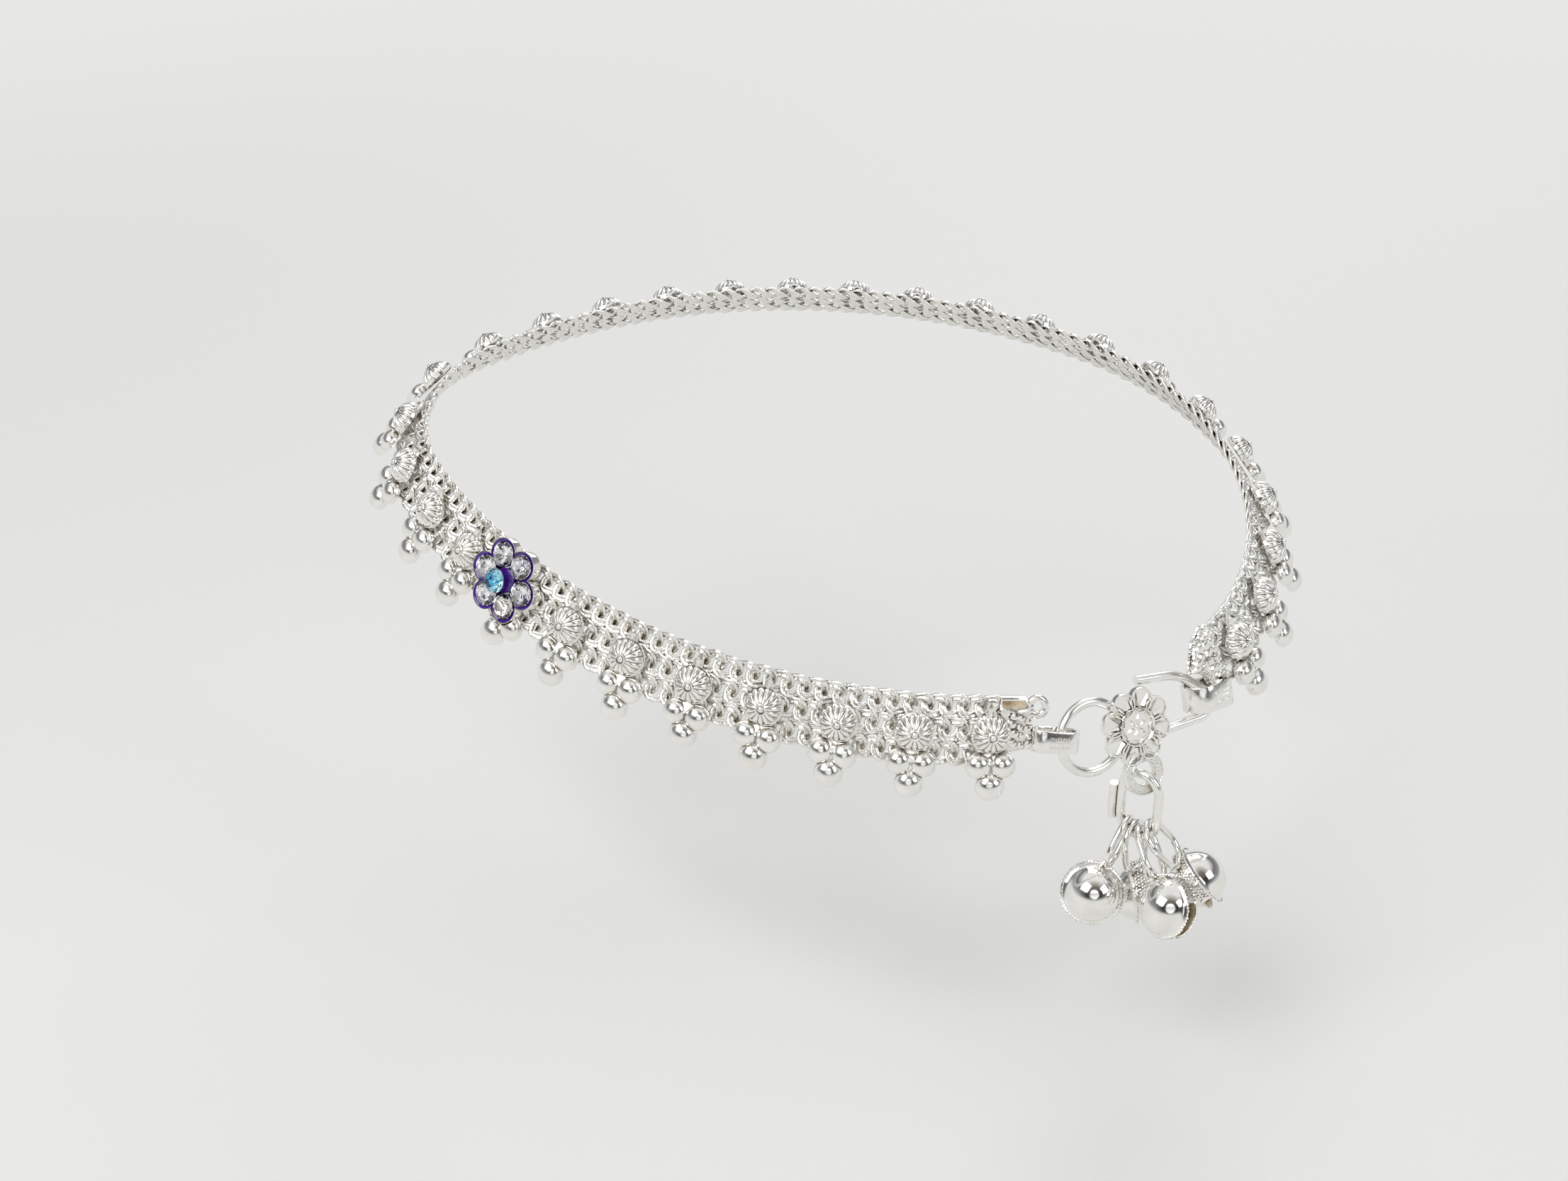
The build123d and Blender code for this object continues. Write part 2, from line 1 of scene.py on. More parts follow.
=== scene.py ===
from math import asin, atan2, copysign, cos, degrees, hypot, pi, radians, sin, sqrt, tan
from random import random, seed, uniform

import bpy
from mathutils import Matrix, Vector


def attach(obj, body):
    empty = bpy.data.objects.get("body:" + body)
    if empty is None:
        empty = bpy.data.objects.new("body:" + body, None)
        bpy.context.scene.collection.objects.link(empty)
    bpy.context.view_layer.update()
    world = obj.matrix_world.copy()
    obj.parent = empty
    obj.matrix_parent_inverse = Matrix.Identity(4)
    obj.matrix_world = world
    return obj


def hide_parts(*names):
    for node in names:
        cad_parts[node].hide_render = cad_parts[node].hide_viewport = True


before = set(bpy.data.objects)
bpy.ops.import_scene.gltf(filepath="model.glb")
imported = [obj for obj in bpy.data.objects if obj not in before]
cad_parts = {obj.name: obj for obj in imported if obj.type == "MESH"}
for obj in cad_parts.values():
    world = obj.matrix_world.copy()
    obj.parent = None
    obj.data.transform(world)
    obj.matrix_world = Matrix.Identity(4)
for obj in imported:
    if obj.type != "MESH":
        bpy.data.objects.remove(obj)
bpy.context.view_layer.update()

# Looks of a payal anklet: three rows of curb links, stamped drops, an enamelled stone flower, a
# flower-shaped S-hook clasp and a bunch of ghungroo bells. Shapes are worked out in mm and
# degrees, and become metres when a mesh is made.
MM = 0.001
WIRE_SIDES = 14
seed(7)

# ---- camera
CAMERA_PLACE = (32.337, -214.181, 111.261)
CAMERA_TURN = 10.02  # about +Z, from +Y towards -X
CAMERA_DIP = 30.0  # below the horizon
CAMERA_LENS = 49.52

# ---- loop, as in the part
LOOP_HALF_WIDTH = 34.0
SIDE_RADIUS = 66.8
SIDE_SHIFT = 5.9
HEEL_RADIUS = 18.0
FRONT_RADIUS = 32.6
FLARE = 34.0
SIDE_TILT = 14.9
FRONT_TILT = 5.6
LEFT_END = 86.2
RIGHT_END = 113.2

# ---- chain rows
ROWS = 3
ROW_PITCH = 2.45  # from row to row, up the band
LINK_PITCH = 1.84
LINK_WIRE = 0.23  # radius of one of a link's two strands
LINK_STRANDS = 1.95  # width of the two strands side by side over the width of one
LINK_GROOVE = 0.9  # depth of the groove between them, as a share of the radius
LINK_LEAN = 19.0  # each link lies a little across the row
LINK_HALF_LENGTH = 1.3  # of the wire's middle line
LINK_HALF_WIDTH = 0.79
LINK_TWIST = 0.33  # how far the link leaves the band's middle surface
LINK_SQUARE = 0.8  # 1 is a plain oval, and less has fuller corners
LINK_STEPS = 24
LINK_SIDES = 12

# ---- stamped drops
FLOWER_PLACE = 30.75
FLOWER_LEAD = 1.05
FIRST_RIGHT_DROP = 116.2
DROPS_RIGHT = 23
DROPS_LEFT = 7
DROP_SEAT = 0.86  # out from the band's middle surface
DROP_LEAN = 4  # degrees that a drop may stand askew
PLATE_THICK = 0.45
DOME_RADIUS = 1.95
DOME_HEIGHT = 1.35
DOME_UP = -0.2
DOME_FLUTES = 15
FLUTE_DEPTH = 0.3
UPPER_BALL = 1.12
LOWER_BALL = 1.25
BALL_SPREAD = 1.22
UPPER_BALL_UP = -3.45
LOWER_BALL_UP = -5.6
TREFOIL_RIM = 0.26

# ---- enamelled flower
PETALS = 6
PETAL_REACH = 2.94
PETAL_RADIUS = 1.67
STONE_REACH = 2.78  # the stones sit a little nearer the middle than the petals
PETAL_EDGE = 0.11  # silver left bare round the enamel
POST_SQUARE = 0.8  # the middle post's radius, squared
GROUND_UP = 1.02  # the enamel's height between the stones
FLOWER_UP = 0.3
FLOWER_THICK = 1.05
STONE_RADIUS = 1.34
STONE_HEIGHT = 1.15
STONE_UP = 0.55
STONE_TURN = 17  # degrees from one stone to the next
STONE_LEAN = 5
CENTRE_STONE_UP = 1.95
CENTRE_STONE_RADIUS = 1.3
CENTRE_STONE_HEIGHT = 1.3
FLOWER_TREFOIL_UP = 0.1
FLOWER_TREFOIL_ALONG = 1.5
FLOWER_TREFOIL_TURN = -20.0
TREFOIL_MIDDLE = -4.3

# ---- end caps and straps
STRAP_WALL = 0.45
WORN_SHARE = 0.12  # of the stamped marks
# place on the loop, up, out, tilt, length, height, depth
LEFT_STRAP = (91.8, -1.4, 0.25, -10.0, 5.3, 2.25, 2.9)
RIGHT_STRAP = (109.85, -2.7, 0.55, -14.0, 5.8, 2.7, 4.2)
CAP_THICK = 1.1
CAP_BEVEL = 0.16
LEFT_CAP = [(0.05, 3.6), (2.5, 3.5), (3.2, 2.6), (3.1, 0.6), (3.4, -0.2), (3.3, -1.7), (1.2, -2.2),
            (0.05, -2.8)]
RIGHT_CAP = [(0.05, 3.6), (0.6, 3.6), (2.3, 2.9), (3.5, 1.5), (4.2, 0.6), (3.0, 0.0), (2.0, -1.2),
             (1.7, -3.5), (0.05, -3.6)]
END_RING_ALONG = 3.9
END_RING_UP = 2.35
END_RING_RADIUS = 0.87
END_RING_WIRE = 0.4

# ---- clasp
CLASP_PLACE = 101.5
CLASP_UP = -2.6
CLASP_SINK = 1.3
HOOK_WIRE = 0.52
CATCH_RADIUS = 3.7
CATCH_X = -5.5
CATCH_START = 50.0  # the catch's arc runs anticlockwise between these headings
CATCH_END = 300.0
CATCH_TAIL = 2.4  # straight runs from its two ends, behind the plate
CATCH_RUN = 2.2
BEND_X = 9.15
BEND_LOW = -2.75
BEND_HIGH = -0.1
HOOK_SHOULDER = (6.0, 2.9)
HOOK_TIP = (1.0, 3.95)
HOOK_CORNERS = [1.8, 1.3, 2.4, 6.0]  # radii of the leg's corners, catch to tip
HOOK_STEP = 0.8  # longest straight piece of the bent wire
PLATE_X = -0.45
PLATE_UP = -0.5
PLATE_BACK = 0.35
PLATE_FRONT = 1.0
PLATE_PETALS = 8
PLATE_PETAL_RADIUS = 1.4
PLATE_PETAL_REACH = 2.8
PLATE_TURN = 22.5
PLATE_DISC = 2.15
EYELET_DROP = 5.2
EYELET_X = -0.2
EYELET_RADIUS = 2.35
EYELET_HOLE = 1.3
EYELET_BACK = 0.1

# ---- hanging bells
RING_HEADING = -28.0
RING_WIRE = 0.5
RING_HALF_WIDTH = 2.15
RING_TOP = -0.15
RING_BOTTOM = -7.9
LAP_TOP = -2.6
LAP_ANGLE = 20.0
LAP_OFFSET = 0.99  # from the ring's wire, as a share of the wire's thickness
BELL_RADIUS = 3.05
BELL_WALL = 0.35
SEAM_RIM = 0.26
SEAM_THICK = 1.6
SLOT_WIDTH = 1.0
SLOT_TOP = -0.8
SEAM_BEADS = 56
LOOP_WIRE = 0.36
LOOP_HALF = 2.0
LOOP_FOOT = 3.15
HANG = 7.9
LOOP_SLACK = 0.22  # free room between the two wires
LOOP_HEAD = HANG + RING_WIRE + LOOP_WIRE + LOOP_SLACK
SETTLE_TURN = -0.12  # about the eyelet's axis: what balances the bunch
BELLS = [
    # name, place across the ring's foot, lean, its heading, turn, seam's turn
    ("bell_1", -1.3, 40.0, -125.0, 9.0, -68.0),
    ("bell_2", 1.06, 55.5, -64.0, 7.0, -105.0),
    ("bell_3", 1.8, 42.0, 9.0, 22.0, 18.0),
    ("bell_4", -0.34, -8.5, -174.0, 0.0, 38.0),
]


# ======== places on the band
def loop_arcs():
    """The loop's five tangent arcs, heel first: centre x, centre y, radius, start, end angle."""
    rise = SIDE_RADIUS - LOOP_HALF_WIDTH
    heel_run = sqrt((SIDE_RADIUS - HEEL_RADIUS) ** 2 - rise ** 2)
    front_run = sqrt((SIDE_RADIUS - FRONT_RADIUS) ** 2 - rise ** 2)
    heel_x = SIDE_SHIFT - heel_run
    front_x = SIDE_SHIFT + front_run
    heel_turn = 180 + degrees(atan2(rise, heel_run))
    front_turn = 360 - degrees(atan2(rise, front_run))
    return [
        (heel_x, 0, HEEL_RADIUS, 180, heel_turn),
        (SIDE_SHIFT, rise, SIDE_RADIUS, heel_turn, front_turn),
        (front_x, 0, FRONT_RADIUS, front_turn, 720 - front_turn),
        (SIDE_SHIFT, -rise, SIDE_RADIUS, 720 - front_turn, 720 - heel_turn),
        (heel_x, 0, HEEL_RADIUS, 720 - heel_turn, 540),
    ]


def arc_length(arc):
    return arc[2] * radians(arc[4] - arc[3])


ARCS = loop_arcs()
LOOP_LENGTH = sum(arc_length(arc) for arc in ARCS)
UP = radians(FLARE)


def frame_matrix(x_axis, y_axis, z_axis, origin):
    return Matrix.Translation(origin) @ Matrix((x_axis, y_axis, z_axis)).transposed().to_4x4()


def loop_matrix():
    side = radians(SIDE_TILT)
    front = radians(FRONT_TILT)
    along = Vector((cos(front), 0, -sin(front)))
    normal = Vector((sin(front) * cos(side), -sin(side), cos(front) * cos(side)))
    along = (along - normal * along.dot(normal)).normalized()
    return frame_matrix(along, normal.cross(along), normal, (0, 0, 0))


LOOP = loop_matrix()


def place(station, along=0.0, up=0.0, out=0.0, sink=0.0):
    """Matrix to a spot on the band: x along it, y up it, z out of it."""
    station %= LOOP_LENGTH
    for arc in ARCS:
        if station <= arc_length(arc):
            break
        station -= arc_length(arc)
    x, y, radius, start, _ = arc
    angle = radians(start) + station / radius
    spot = Vector((x + (radius - sink) * cos(angle), y + (radius - sink) * sin(angle), 0))
    tangent = Vector((-sin(angle), cos(angle), 0))
    outward = Vector((cos(angle) * cos(UP), sin(angle) * cos(UP), sin(UP)))
    local = frame_matrix(tangent, outward.cross(tangent), outward, spot)
    return LOOP @ local @ Matrix.Translation((along, up, out))


def turned(axis, angle):
    return Matrix.Rotation(radians(angle), 4, axis)


def moved(x=0.0, y=0.0, z=0.0):
    return Matrix.Translation((x, y, z))


def stretched(x, y, z):
    return Matrix.Diagonal((x, y, z, 1))


def wobble(most):
    """A random amount, up to most either way."""
    return uniform(-most, most)


# ======== mesh building
def polar(reach, angle):
    return reach * cos(angle), reach * sin(angle)


def turns(count, start=0.0):
    """Evenly spaced angles all round."""
    return [2 * pi * (number + start) / count for number in range(count)]


class Shape:
    """Vertices and faces in mm, with a material number for each face."""

    def __init__(self):
        self.points = []
        self.faces = []
        self.paints = []

    def add(self, points, faces, move=None, paint=0):
        base = len(self.points)
        points = [Vector(point) for point in points]
        self.points += [move @ point for point in points] if move else points
        self.faces += [[base + corner for corner in face] for face in faces]
        self.paints += [paint] * len(faces)
        return self

    def join(self, other, move=None):
        paints = self.paints + other.paints
        self.add(other.points, other.faces, move)
        self.paints = paints
        return self


def add_object(name, data):
    thing = bpy.data.objects.new(name, data)
    bpy.context.scene.collection.objects.link(thing)
    return thing


def make_piece(name, shape, materials, nodes, sharp=35.0, body="anklet"):
    """A mesh object from a shape, riding on a body and standing for CAD nodes."""
    mesh = bpy.data.meshes.new(name)
    mesh.from_pydata([point * MM for point in shape.points], [], shape.faces)
    mesh.validate()
    for material in materials:
        mesh.materials.append(material)
    mesh.polygons.foreach_set("material_index", shape.paints)
    mesh.polygons.foreach_set("use_smooth", [True] * len(mesh.polygons))
    mesh.set_sharp_from_angle(angle=radians(sharp))
    mesh.update()
    piece = add_object(name, mesh)
    if nodes:
        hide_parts(*nodes)
    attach(piece, body)


def ring_faces(rings, sides, joined=False, capped=False):
    """Quads between rings of points. The last ring can meet the first, or both ends be closed."""
    faces = []
    for ring in range(rings if joined else rings - 1):
        low = ring * sides
        high = (ring + 1) % rings * sides
        for side in range(sides):
            after = (side + 1) % sides
            faces.append((low + side, low + after, high + after, high + side))
    if capped:
        faces.append(tuple(reversed(range(sides))))
        faces.append(tuple((rings - 1) * sides + side for side in range(sides)))
    return faces


def tube(path, radius, sides, closed=False, up=(0, 0, 1), flat=1.0, groove=0.0):
    """A wire along a path whose side direction comes from up; flat and groove make it double."""
    path = [Vector(middle) for middle in path]
    points = []
    count = len(path)
    for number, middle in enumerate(path):
        if closed:
            ahead = path[(number + 1) % count] - path[number - 1]
        else:
            ahead = path[min(number + 1, count - 1)] - path[max(number - 1, 0)]
        ahead.normalize()
        side = ahead.cross(Vector(up)).normalized()
        lift = side.cross(ahead)
        for angle in turns(sides):
            high = radius * sin(angle) * (1 - groove * (1 - abs(cos(angle))) ** 3)
            points.append(middle + side * radius * cos(angle) * flat + lift * high)
    return points, ring_faces(count, sides, joined=closed, capped=not closed)


def lathe(profile, sides):
    """A profile of (radius, height) turned about z; a radius of 0 closes it with a point."""
    points = []
    faces = []
    rings = []
    for radius, height in profile:
        if radius <= 1e-6:
            rings.append([len(points)] * sides)
            points.append((0, 0, height))
        else:
            rings.append([len(points) + side for side in range(sides)])
            points += [(*polar(radius, angle), height) for angle in turns(sides)]
    for low, high in zip(rings, rings[1:]):
        for side in range(sides):
            after = (side + 1) % sides
            corners = dict.fromkeys((low[side], low[after], high[after], high[side]))
            if len(corners) > 2:
                faces.append(list(corners))
    return points, faces


def dome_profile(radius, height, steps, base=0.0):
    """From the foot of a dome to its top."""
    return [(radius * cos(pi / 2 * step / steps),
             base + height * sin(pi / 2 * step / steps)) for step in range(steps + 1)]


def reach_of(circles, angle):
    """How far out a ray from the origin leaves the last of a group of circles."""
    dx, dy = polar(1, angle)
    best = 0.0
    for x, y, radius in circles:
        near = x * dx + y * dy
        gap = near ** 2 - x * x - y * y + radius ** 2
        if gap > 0 and near + sqrt(gap) > best:
            best = near + sqrt(gap)
    return best


def star_solid(circles, levels, steps):
    """A plate whose outline is a group of circles. levels are (inset, height), bottom first."""
    points = []
    for inset, height in levels:
        for angle in turns(steps):
            reach = max(reach_of(circles, angle) - inset, 0.05)
            points.append((*polar(reach, angle), height))
    return points, ring_faces(len(levels), steps, capped=True)


def prism(outline, low, high, bevel):
    """An outline between two heights, with its top edge cut back a little."""
    spots = [Vector(point) for point in outline]
    if sum(a.cross(b) for a, b in zip(spots, spots[1:] + spots[:1])) < 0:
        spots.reverse()
    inner = []
    for before, here, after in zip(spots[-1:] + spots, spots, spots[1:] + spots[:1]):
        first = (here - before).normalized()
        second = (after - here).normalized()
        inward = Vector((-first.y - second.y, first.x + second.x)).normalized()
        inner.append(here + inward * bevel)
    points = [(*spot, low) for spot in spots] + [(*spot, high - bevel) for spot in spots]
    points += [(*spot, high) for spot in inner]
    return points, ring_faces(3, len(spots), capped=True)


def ridge(length, half_width, height, share=0.35):
    """A leaf with a sharp crest, from the origin along x, lying on z = 0."""
    wide = length * share
    points = [(0, 0, 0), (wide, -half_width, 0), (length, 0, 0), (wide, half_width, 0),
              (wide * 0.35, 0, height * 0.6), (wide, 0, height), (length * 0.9, 0, height * 0.25)]
    faces = [(0, 1, 4), (1, 5, 4), (1, 2, 6, 5), (0, 4, 3), (3, 4, 5), (3, 5, 6, 2),
             (0, 3, 2, 1)]
    return points, faces


def grain(radius, sides):
    """A small raised ball, cut off a little below its middle."""
    profile = [(radius * 0.9, -0.4 * radius), (radius, 0), (radius * 0.72, radius * 0.68),
               (0, radius)]
    return lathe(profile, sides)


def around(count, reach, turn=0.0):
    """Points round the origin, from a heading of turn degrees."""
    for number in range(count):
        yield polar(reach, radians(turn + 360 * number / count))


def arc_points(centre, radius, first, last, steps):
    """Points round a circle from one angle to another."""
    for step in range(steps + 1):
        angle = radians(first + (last - first) * step / steps)
        yield (centre[0] + radius * cos(angle), centre[1] + radius * sin(angle))


# ======== materials
def fill(tree, node, inputs):
    """Give a node's inputs their numbers and colours, or link them to another node's output."""
    for name, value in inputs.items():
        if isinstance(value, bpy.types.NodeSocket):
            tree.links.new(value, node.inputs[name])
        else:
            node.inputs[name].default_value = value


def add_node(tree, kind, inputs, **settings):
    node = tree.nodes.new("ShaderNode" + kind)
    for name, value in settings.items():
        setattr(node, name, value)
    fill(tree, node, inputs)
    return node


def new_material(name):
    material = bpy.data.materials.new(name)
    material.use_nodes = True
    tree = material.node_tree
    return material, tree, tree.nodes["Principled BSDF"]


def ramp(tree, source, stops):
    """A colour ramp of (place, colour) stops fed by a socket."""
    node = add_node(tree, "ValToRGB", {0: source})
    elements = node.color_ramp.elements
    while len(elements) < len(stops):
        elements.new(0.5)
    for element, (spot, colour) in zip(elements, stops):
        element.position = spot
        element.color = colour
    return node.outputs[0]


def rescaled(tree, value, limits, kind="LINEAR"):
    """A value taken from one range to another, 0 to 1 where limits don't say."""
    inputs = {"Value": value, **limits}
    return add_node(tree, "MapRange", inputs, interpolation_type=kind).outputs["Result"]


def mixed(tree, share, first, second, blend="MIX"):
    node = add_node(tree, "Mix", {"Factor": share, "A": first, "B": second}, data_type="RGBA",
                    blend_type=blend)
    return node.outputs["Result"]


def object_place(tree):
    return tree.nodes.new("ShaderNodeTexCoord").outputs["Object"]


def noise(tree, scale, detail):
    inputs = {"Vector": object_place(tree), "Scale": scale, "Detail": detail}
    return add_node(tree, "TexNoise", inputs).outputs["Fac"]


def bumped(tree, height, strength, distance, **normal):
    """A bumped normal; distance is the bump's height in metres."""
    inputs = {"Height": height, "Strength": strength, "Distance": distance, **normal}
    return add_node(tree, "Bump", inputs).outputs["Normal"]


def silver(name, rough=0.16, hammer=0.35, stamp=0.0, tarnish=1.0, dents=650.0):
    """Bright cast silver: cool-white metal, softly uneven, with painted shade and tarnish browning
    the recesses.
    """
    material, tree, shader = new_material(name)
    coarse = noise(tree, dents, 3.0)
    # painted shade: an occlusion mask turns the colour dark brown in recesses, standing in for shade
    # there as well as for tarnish
    hollow = add_node(tree, "AmbientOcclusion", {"Distance": 0.0007}, samples=6)
    painted_shade_and_tarnish = ramp(tree, hollow.outputs["AO"], [
        (0.08, (0.13, 0.085, 0.06, 1)), (0.35, (0.5, 0.43, 0.36, 1)), (0.62, (1, 1, 1, 1))])
    clean = ramp(tree, coarse, [(0.3, (0.86, 0.85, 0.81, 1)), (0.7, (0.94, 0.935, 0.91, 1))])
    gloss = rescaled(tree, noise(tree, 3200.0, 2.0), {"To Min": rough * 0.7, "To Max": rough * 1.5})
    normal = bumped(tree, coarse, hammer, 0.00012)
    if stamp:
        cells = add_node(tree, "TexVoronoi", {"Vector": object_place(tree), "Scale": 5200.0})
        normal = bumped(tree, cells.outputs["Distance"], stamp, 0.00008, Normal=normal)
    # tarnish sets how strongly this painted shade and tarnish multiplies into the colour
    fill(tree, shader, {"Base Color": mixed(tree, tarnish, clean, painted_shade_and_tarnish, "MULTIPLY"),
                        "Roughness": gloss, "Normal": normal, "Metallic": 1.0})
    return material


def clouded(name, scale, detail, stops, looks, bump=None):
    """A finish with clouds of colour, which stand proud where bump is given."""
    material, tree, shader = new_material(name)
    cloud = noise(tree, scale, detail)
    fill(tree, shader, {"Base Color": ramp(tree, cloud, stops), **looks})
    if bump:
        fill(tree, shader, {"Normal": bumped(tree, cloud, bump, 0.0001)})
    return material


def tarnished(name):
    """The tan, oxidised metal inside the bells and in the cap's recess."""
    stops = [(0.3, (0.36, 0.25, 0.15, 1)), (0.5, (0.66, 0.54, 0.36, 1)), (0.7, (0.82, 0.74, 0.56, 1))]
    return clouded(name, 1100.0, 4.0, stops, {"Metallic": 0.45, "Roughness": 0.45}, 0.5)


def enamel_finish(name):
    """Deep violet glass enamel with slight clouds in it."""
    stops = [(0.3, (0.040, 0.008, 0.20, 1)), (0.7, (0.085, 0.018, 0.36, 1))]
    looks = {"Roughness": 0.13, "Coat Weight": 0.6, "Coat Roughness": 0.05}
    return clouded(name, 700.0, 3.0, stops, looks, 0.25)


def stone_finish(name, low, high):
    """A cut stone: clear, with a faint uneven tint inside."""
    looks = {"Roughness": 0.0, "IOR": 1.6, "Transmission Weight": 1.0}
    return clouded(name, 500.0, 2.0, [(0.35, low), (0.65, high)], looks)


def foil(name, colour):
    """The bright backing that a stone is set on."""
    darker = tuple(value * 0.75 for value in colour[:3]) + (1,)
    looks = {"Metallic": 1.0, "Roughness": 0.12}
    return clouded(name, 1500.0, 1.0, [(0.35, darker), (0.65, colour)], looks)


SILVER = silver("silver_cast", hammer=0.6)
SILVER_CHAIN = silver("silver_links", rough=0.2, hammer=0.8, dents=2400.0)
SILVER_WIRE = silver("silver_wire", rough=0.2, hammer=0.22, tarnish=0.7)
SILVER_STAMPED = silver("silver_stamped", rough=0.2, stamp=0.55)
SILVER_BELL = silver("silver_bell", rough=0.09, hammer=0.16, tarnish=0.75)
TAN = tarnished("tarnish")
ENAMEL = enamel_finish("violet_enamel")
CLEAR = stone_finish("clear_stone", (0.95, 0.94, 0.98, 1), (1.0, 1.0, 1.0, 1))
BLUE = stone_finish("blue_stone", (0.28, 0.72, 0.92, 1), (0.45, 0.85, 0.98, 1))
BRIGHT_FOIL = foil("bright_foil", (0.95, 0.95, 0.96, 1))
BLUE_FOIL = foil("blue_foil", (0.25, 0.62, 0.82, 1))


# ======== chain rows
BAND_LENGTH = LOOP_LENGTH + LEFT_END - RIGHT_END
ROW_LINKS = int(BAND_LENGTH / LINK_PITCH)


def link_path(lean):
    """The wire of one curb link: an oval whose sides cross over and under its neighbours."""
    path = []
    cosine, sine = polar(1, radians(lean))
    for angle in turns(LINK_STEPS):
        x = LINK_HALF_LENGTH * copysign(abs(cos(angle)) ** LINK_SQUARE, cos(angle))
        y = LINK_HALF_WIDTH * copysign(abs(sin(angle)) ** LINK_SQUARE, sin(angle))
        path.append((x * cosine - y * sine, x * sine + y * cosine,
                     LINK_TWIST * sin(2 * angle)))
    return path


def chain_row(row):
    """A whole row of interlocked links along the band."""
    up = (ROWS - 1) / 2 * ROW_PITCH - row * ROW_PITCH
    step = BAND_LENGTH / ROW_LINKS
    shift = 0.5 if row == 2 else 0.0
    shape = Shape()
    for number in range(ROW_LINKS):
        station = RIGHT_END + step * (number + 0.5 + shift)
        if station > RIGHT_END + BAND_LENGTH - 0.4 * step:
            break
        path = link_path(LINK_LEAN + wobble(4))
        points, faces = tube(path, LINK_WIRE * uniform(0.95, 1.05), LINK_SIDES, closed=True,
                             flat=LINK_STRANDS, groove=LINK_GROOVE)
        lift = wobble(0.04)
        bent = [place(station + point.x, up=up + point.y + lift) @ Vector((0, 0, point.z))
                for point in points]
        shape.add(bent, faces)
    return shape


def solder_seam():
    """The uneven grains of solder that join the rows."""
    shape = Shape()
    for seam in (0.5, -0.5):
        for number in range(ROW_LINKS):
            station = RIGHT_END + BAND_LENGTH * (number + uniform(0.3, 0.7)) / ROW_LINKS
            points, faces = grain(uniform(0.2, 0.34), 7)
            spot = place(station, up=seam * ROW_PITCH + wobble(0.1), out=uniform(-0.1, 0.12))
            shape.add(points, faces, spot @ stretched(1.5, 1.0, 0.9))
    return shape


def build_chain():
    for row in range(ROWS):
        make_piece(f"chain_row_{row + 1}", chain_row(row), [SILVER_CHAIN], ["band"], sharp=60)
    make_piece("row_solder", solder_seam(), [SILVER_CHAIN], ["band"], sharp=60)


# ======== stamped drops
def fluted_dome():
    """A daisy-like dome: rounded rays with sharp grooves, a ring and a boss at the top."""
    sides = DOME_FLUTES * 8
    shares = (0.0, 0.12, 0.3, 0.5, 0.68, 0.82, 0.9)
    points = []
    for share in shares:
        climb = pi / 2 * share
        for angle in turns(sides):
            wave = abs(sin(angle * DOME_FLUTES / 2)) ** 0.5
            depth = FLUTE_DEPTH * cos(climb) ** 0.8 * (1 - wave)
            reach = DOME_RADIUS * cos(climb) - depth * 0.6
            points.append((*polar(reach, angle), DOME_HEIGHT * sin(climb) - depth * 0.7))
    top = len(points)
    last = top - sides
    faces = ring_faces(len(shares), sides)
    faces += [(last + side, last + (side + 1) % sides, top) for side in range(sides)]
    faces.append(tuple(reversed(range(sides))))
    shape = Shape().add(points + [(0, 0, DOME_HEIGHT * 0.98)], faces)
    shape.add(*lathe([(0.52, 0), (0.6, 0.06), (0.52, 0.12), (0.4, 0.1)], 18),
              move=moved(z=DOME_HEIGHT * 0.93))
    return shape.add(*lathe(dome_profile(0.34, 0.32, 4), 14), move=moved(z=DOME_HEIGHT * 0.96))


def trefoil(shift=0.0, swell=1.0):
    """A flat plate with a soft rim and three round balls on it."""
    middle = TREFOIL_MIDDLE + shift
    balls = [(-BALL_SPREAD, UPPER_BALL_UP + shift, UPPER_BALL),
             (BALL_SPREAD, UPPER_BALL_UP + shift, UPPER_BALL),
             (0, LOWER_BALL_UP + shift, LOWER_BALL)]
    rims = [(x, y - middle, radius + TREFOIL_RIM) for x, y, radius in balls]
    rims.append((0, 1.1, 1.25))
    top = PLATE_THICK
    levels = [(0.08, 0), (0, 0.1), (0, top - 0.08), (0.08, top + 0.02), (0.22, top + 0.04),
              (0.55, top + 0.22), (0.95, top + 0.42)]
    shape = Shape().add(*star_solid(rims, levels, 84), move=moved(y=middle))
    for x, y, radius in balls:
        size = (radius + 0.17) * swell
        profile = [(size * 1.04, 0), (size * 1.03, 0.08)]
        profile += [(reach, height + 0.1) for reach, height in dome_profile(size, size * 0.72, 8)]
        shape.add(*lathe(profile, 24), move=moved(x, y, top - 0.02))
    return shape


def drop_tab():
    """The pointed leaf above the dome."""
    outline = [(-0.8, -0.4), (0.8, -0.4), (0.78, 0.9), (0.42, 1.9), (0, 2.75), (-0.42, 1.9),
               (-0.78, 0.9)]
    leaf = Shape().add(*prism(outline, 0, 0.42, 0.1), move=moved(y=0.35))
    return leaf.add(*ridge(1.7, 0.42, 0.36), move=moved(y=3.0, z=0.38) @ turned("Z", -90))


def plain_drop():
    seat = [(DOME_RADIUS - 0.1, 0), (DOME_RADIUS + 0.1, 0.1)]
    seat += dome_profile(DOME_RADIUS + 0.1, 0.12, 2, PLATE_THICK)[:-1]
    shape = Shape().add(*lathe(seat, 48), move=moved(y=DOME_UP))
    shape.join(fluted_dome(), moved(y=DOME_UP, z=PLATE_THICK))
    return shape.join(drop_tab()).join(trefoil())


def drop_places():
    """Stations of the plain drops, from the clasp's right side all round to its left side."""
    flower = FLOWER_PLACE + FLOWER_LEAD + LOOP_LENGTH
    pitch = (flower - FIRST_RIGHT_DROP) / DROPS_RIGHT
    right = [FIRST_RIGHT_DROP + pitch * number for number in range(DROPS_RIGHT)]
    left = [flower + pitch * (number + 1) for number in range(DROPS_LEFT)]
    return right + left


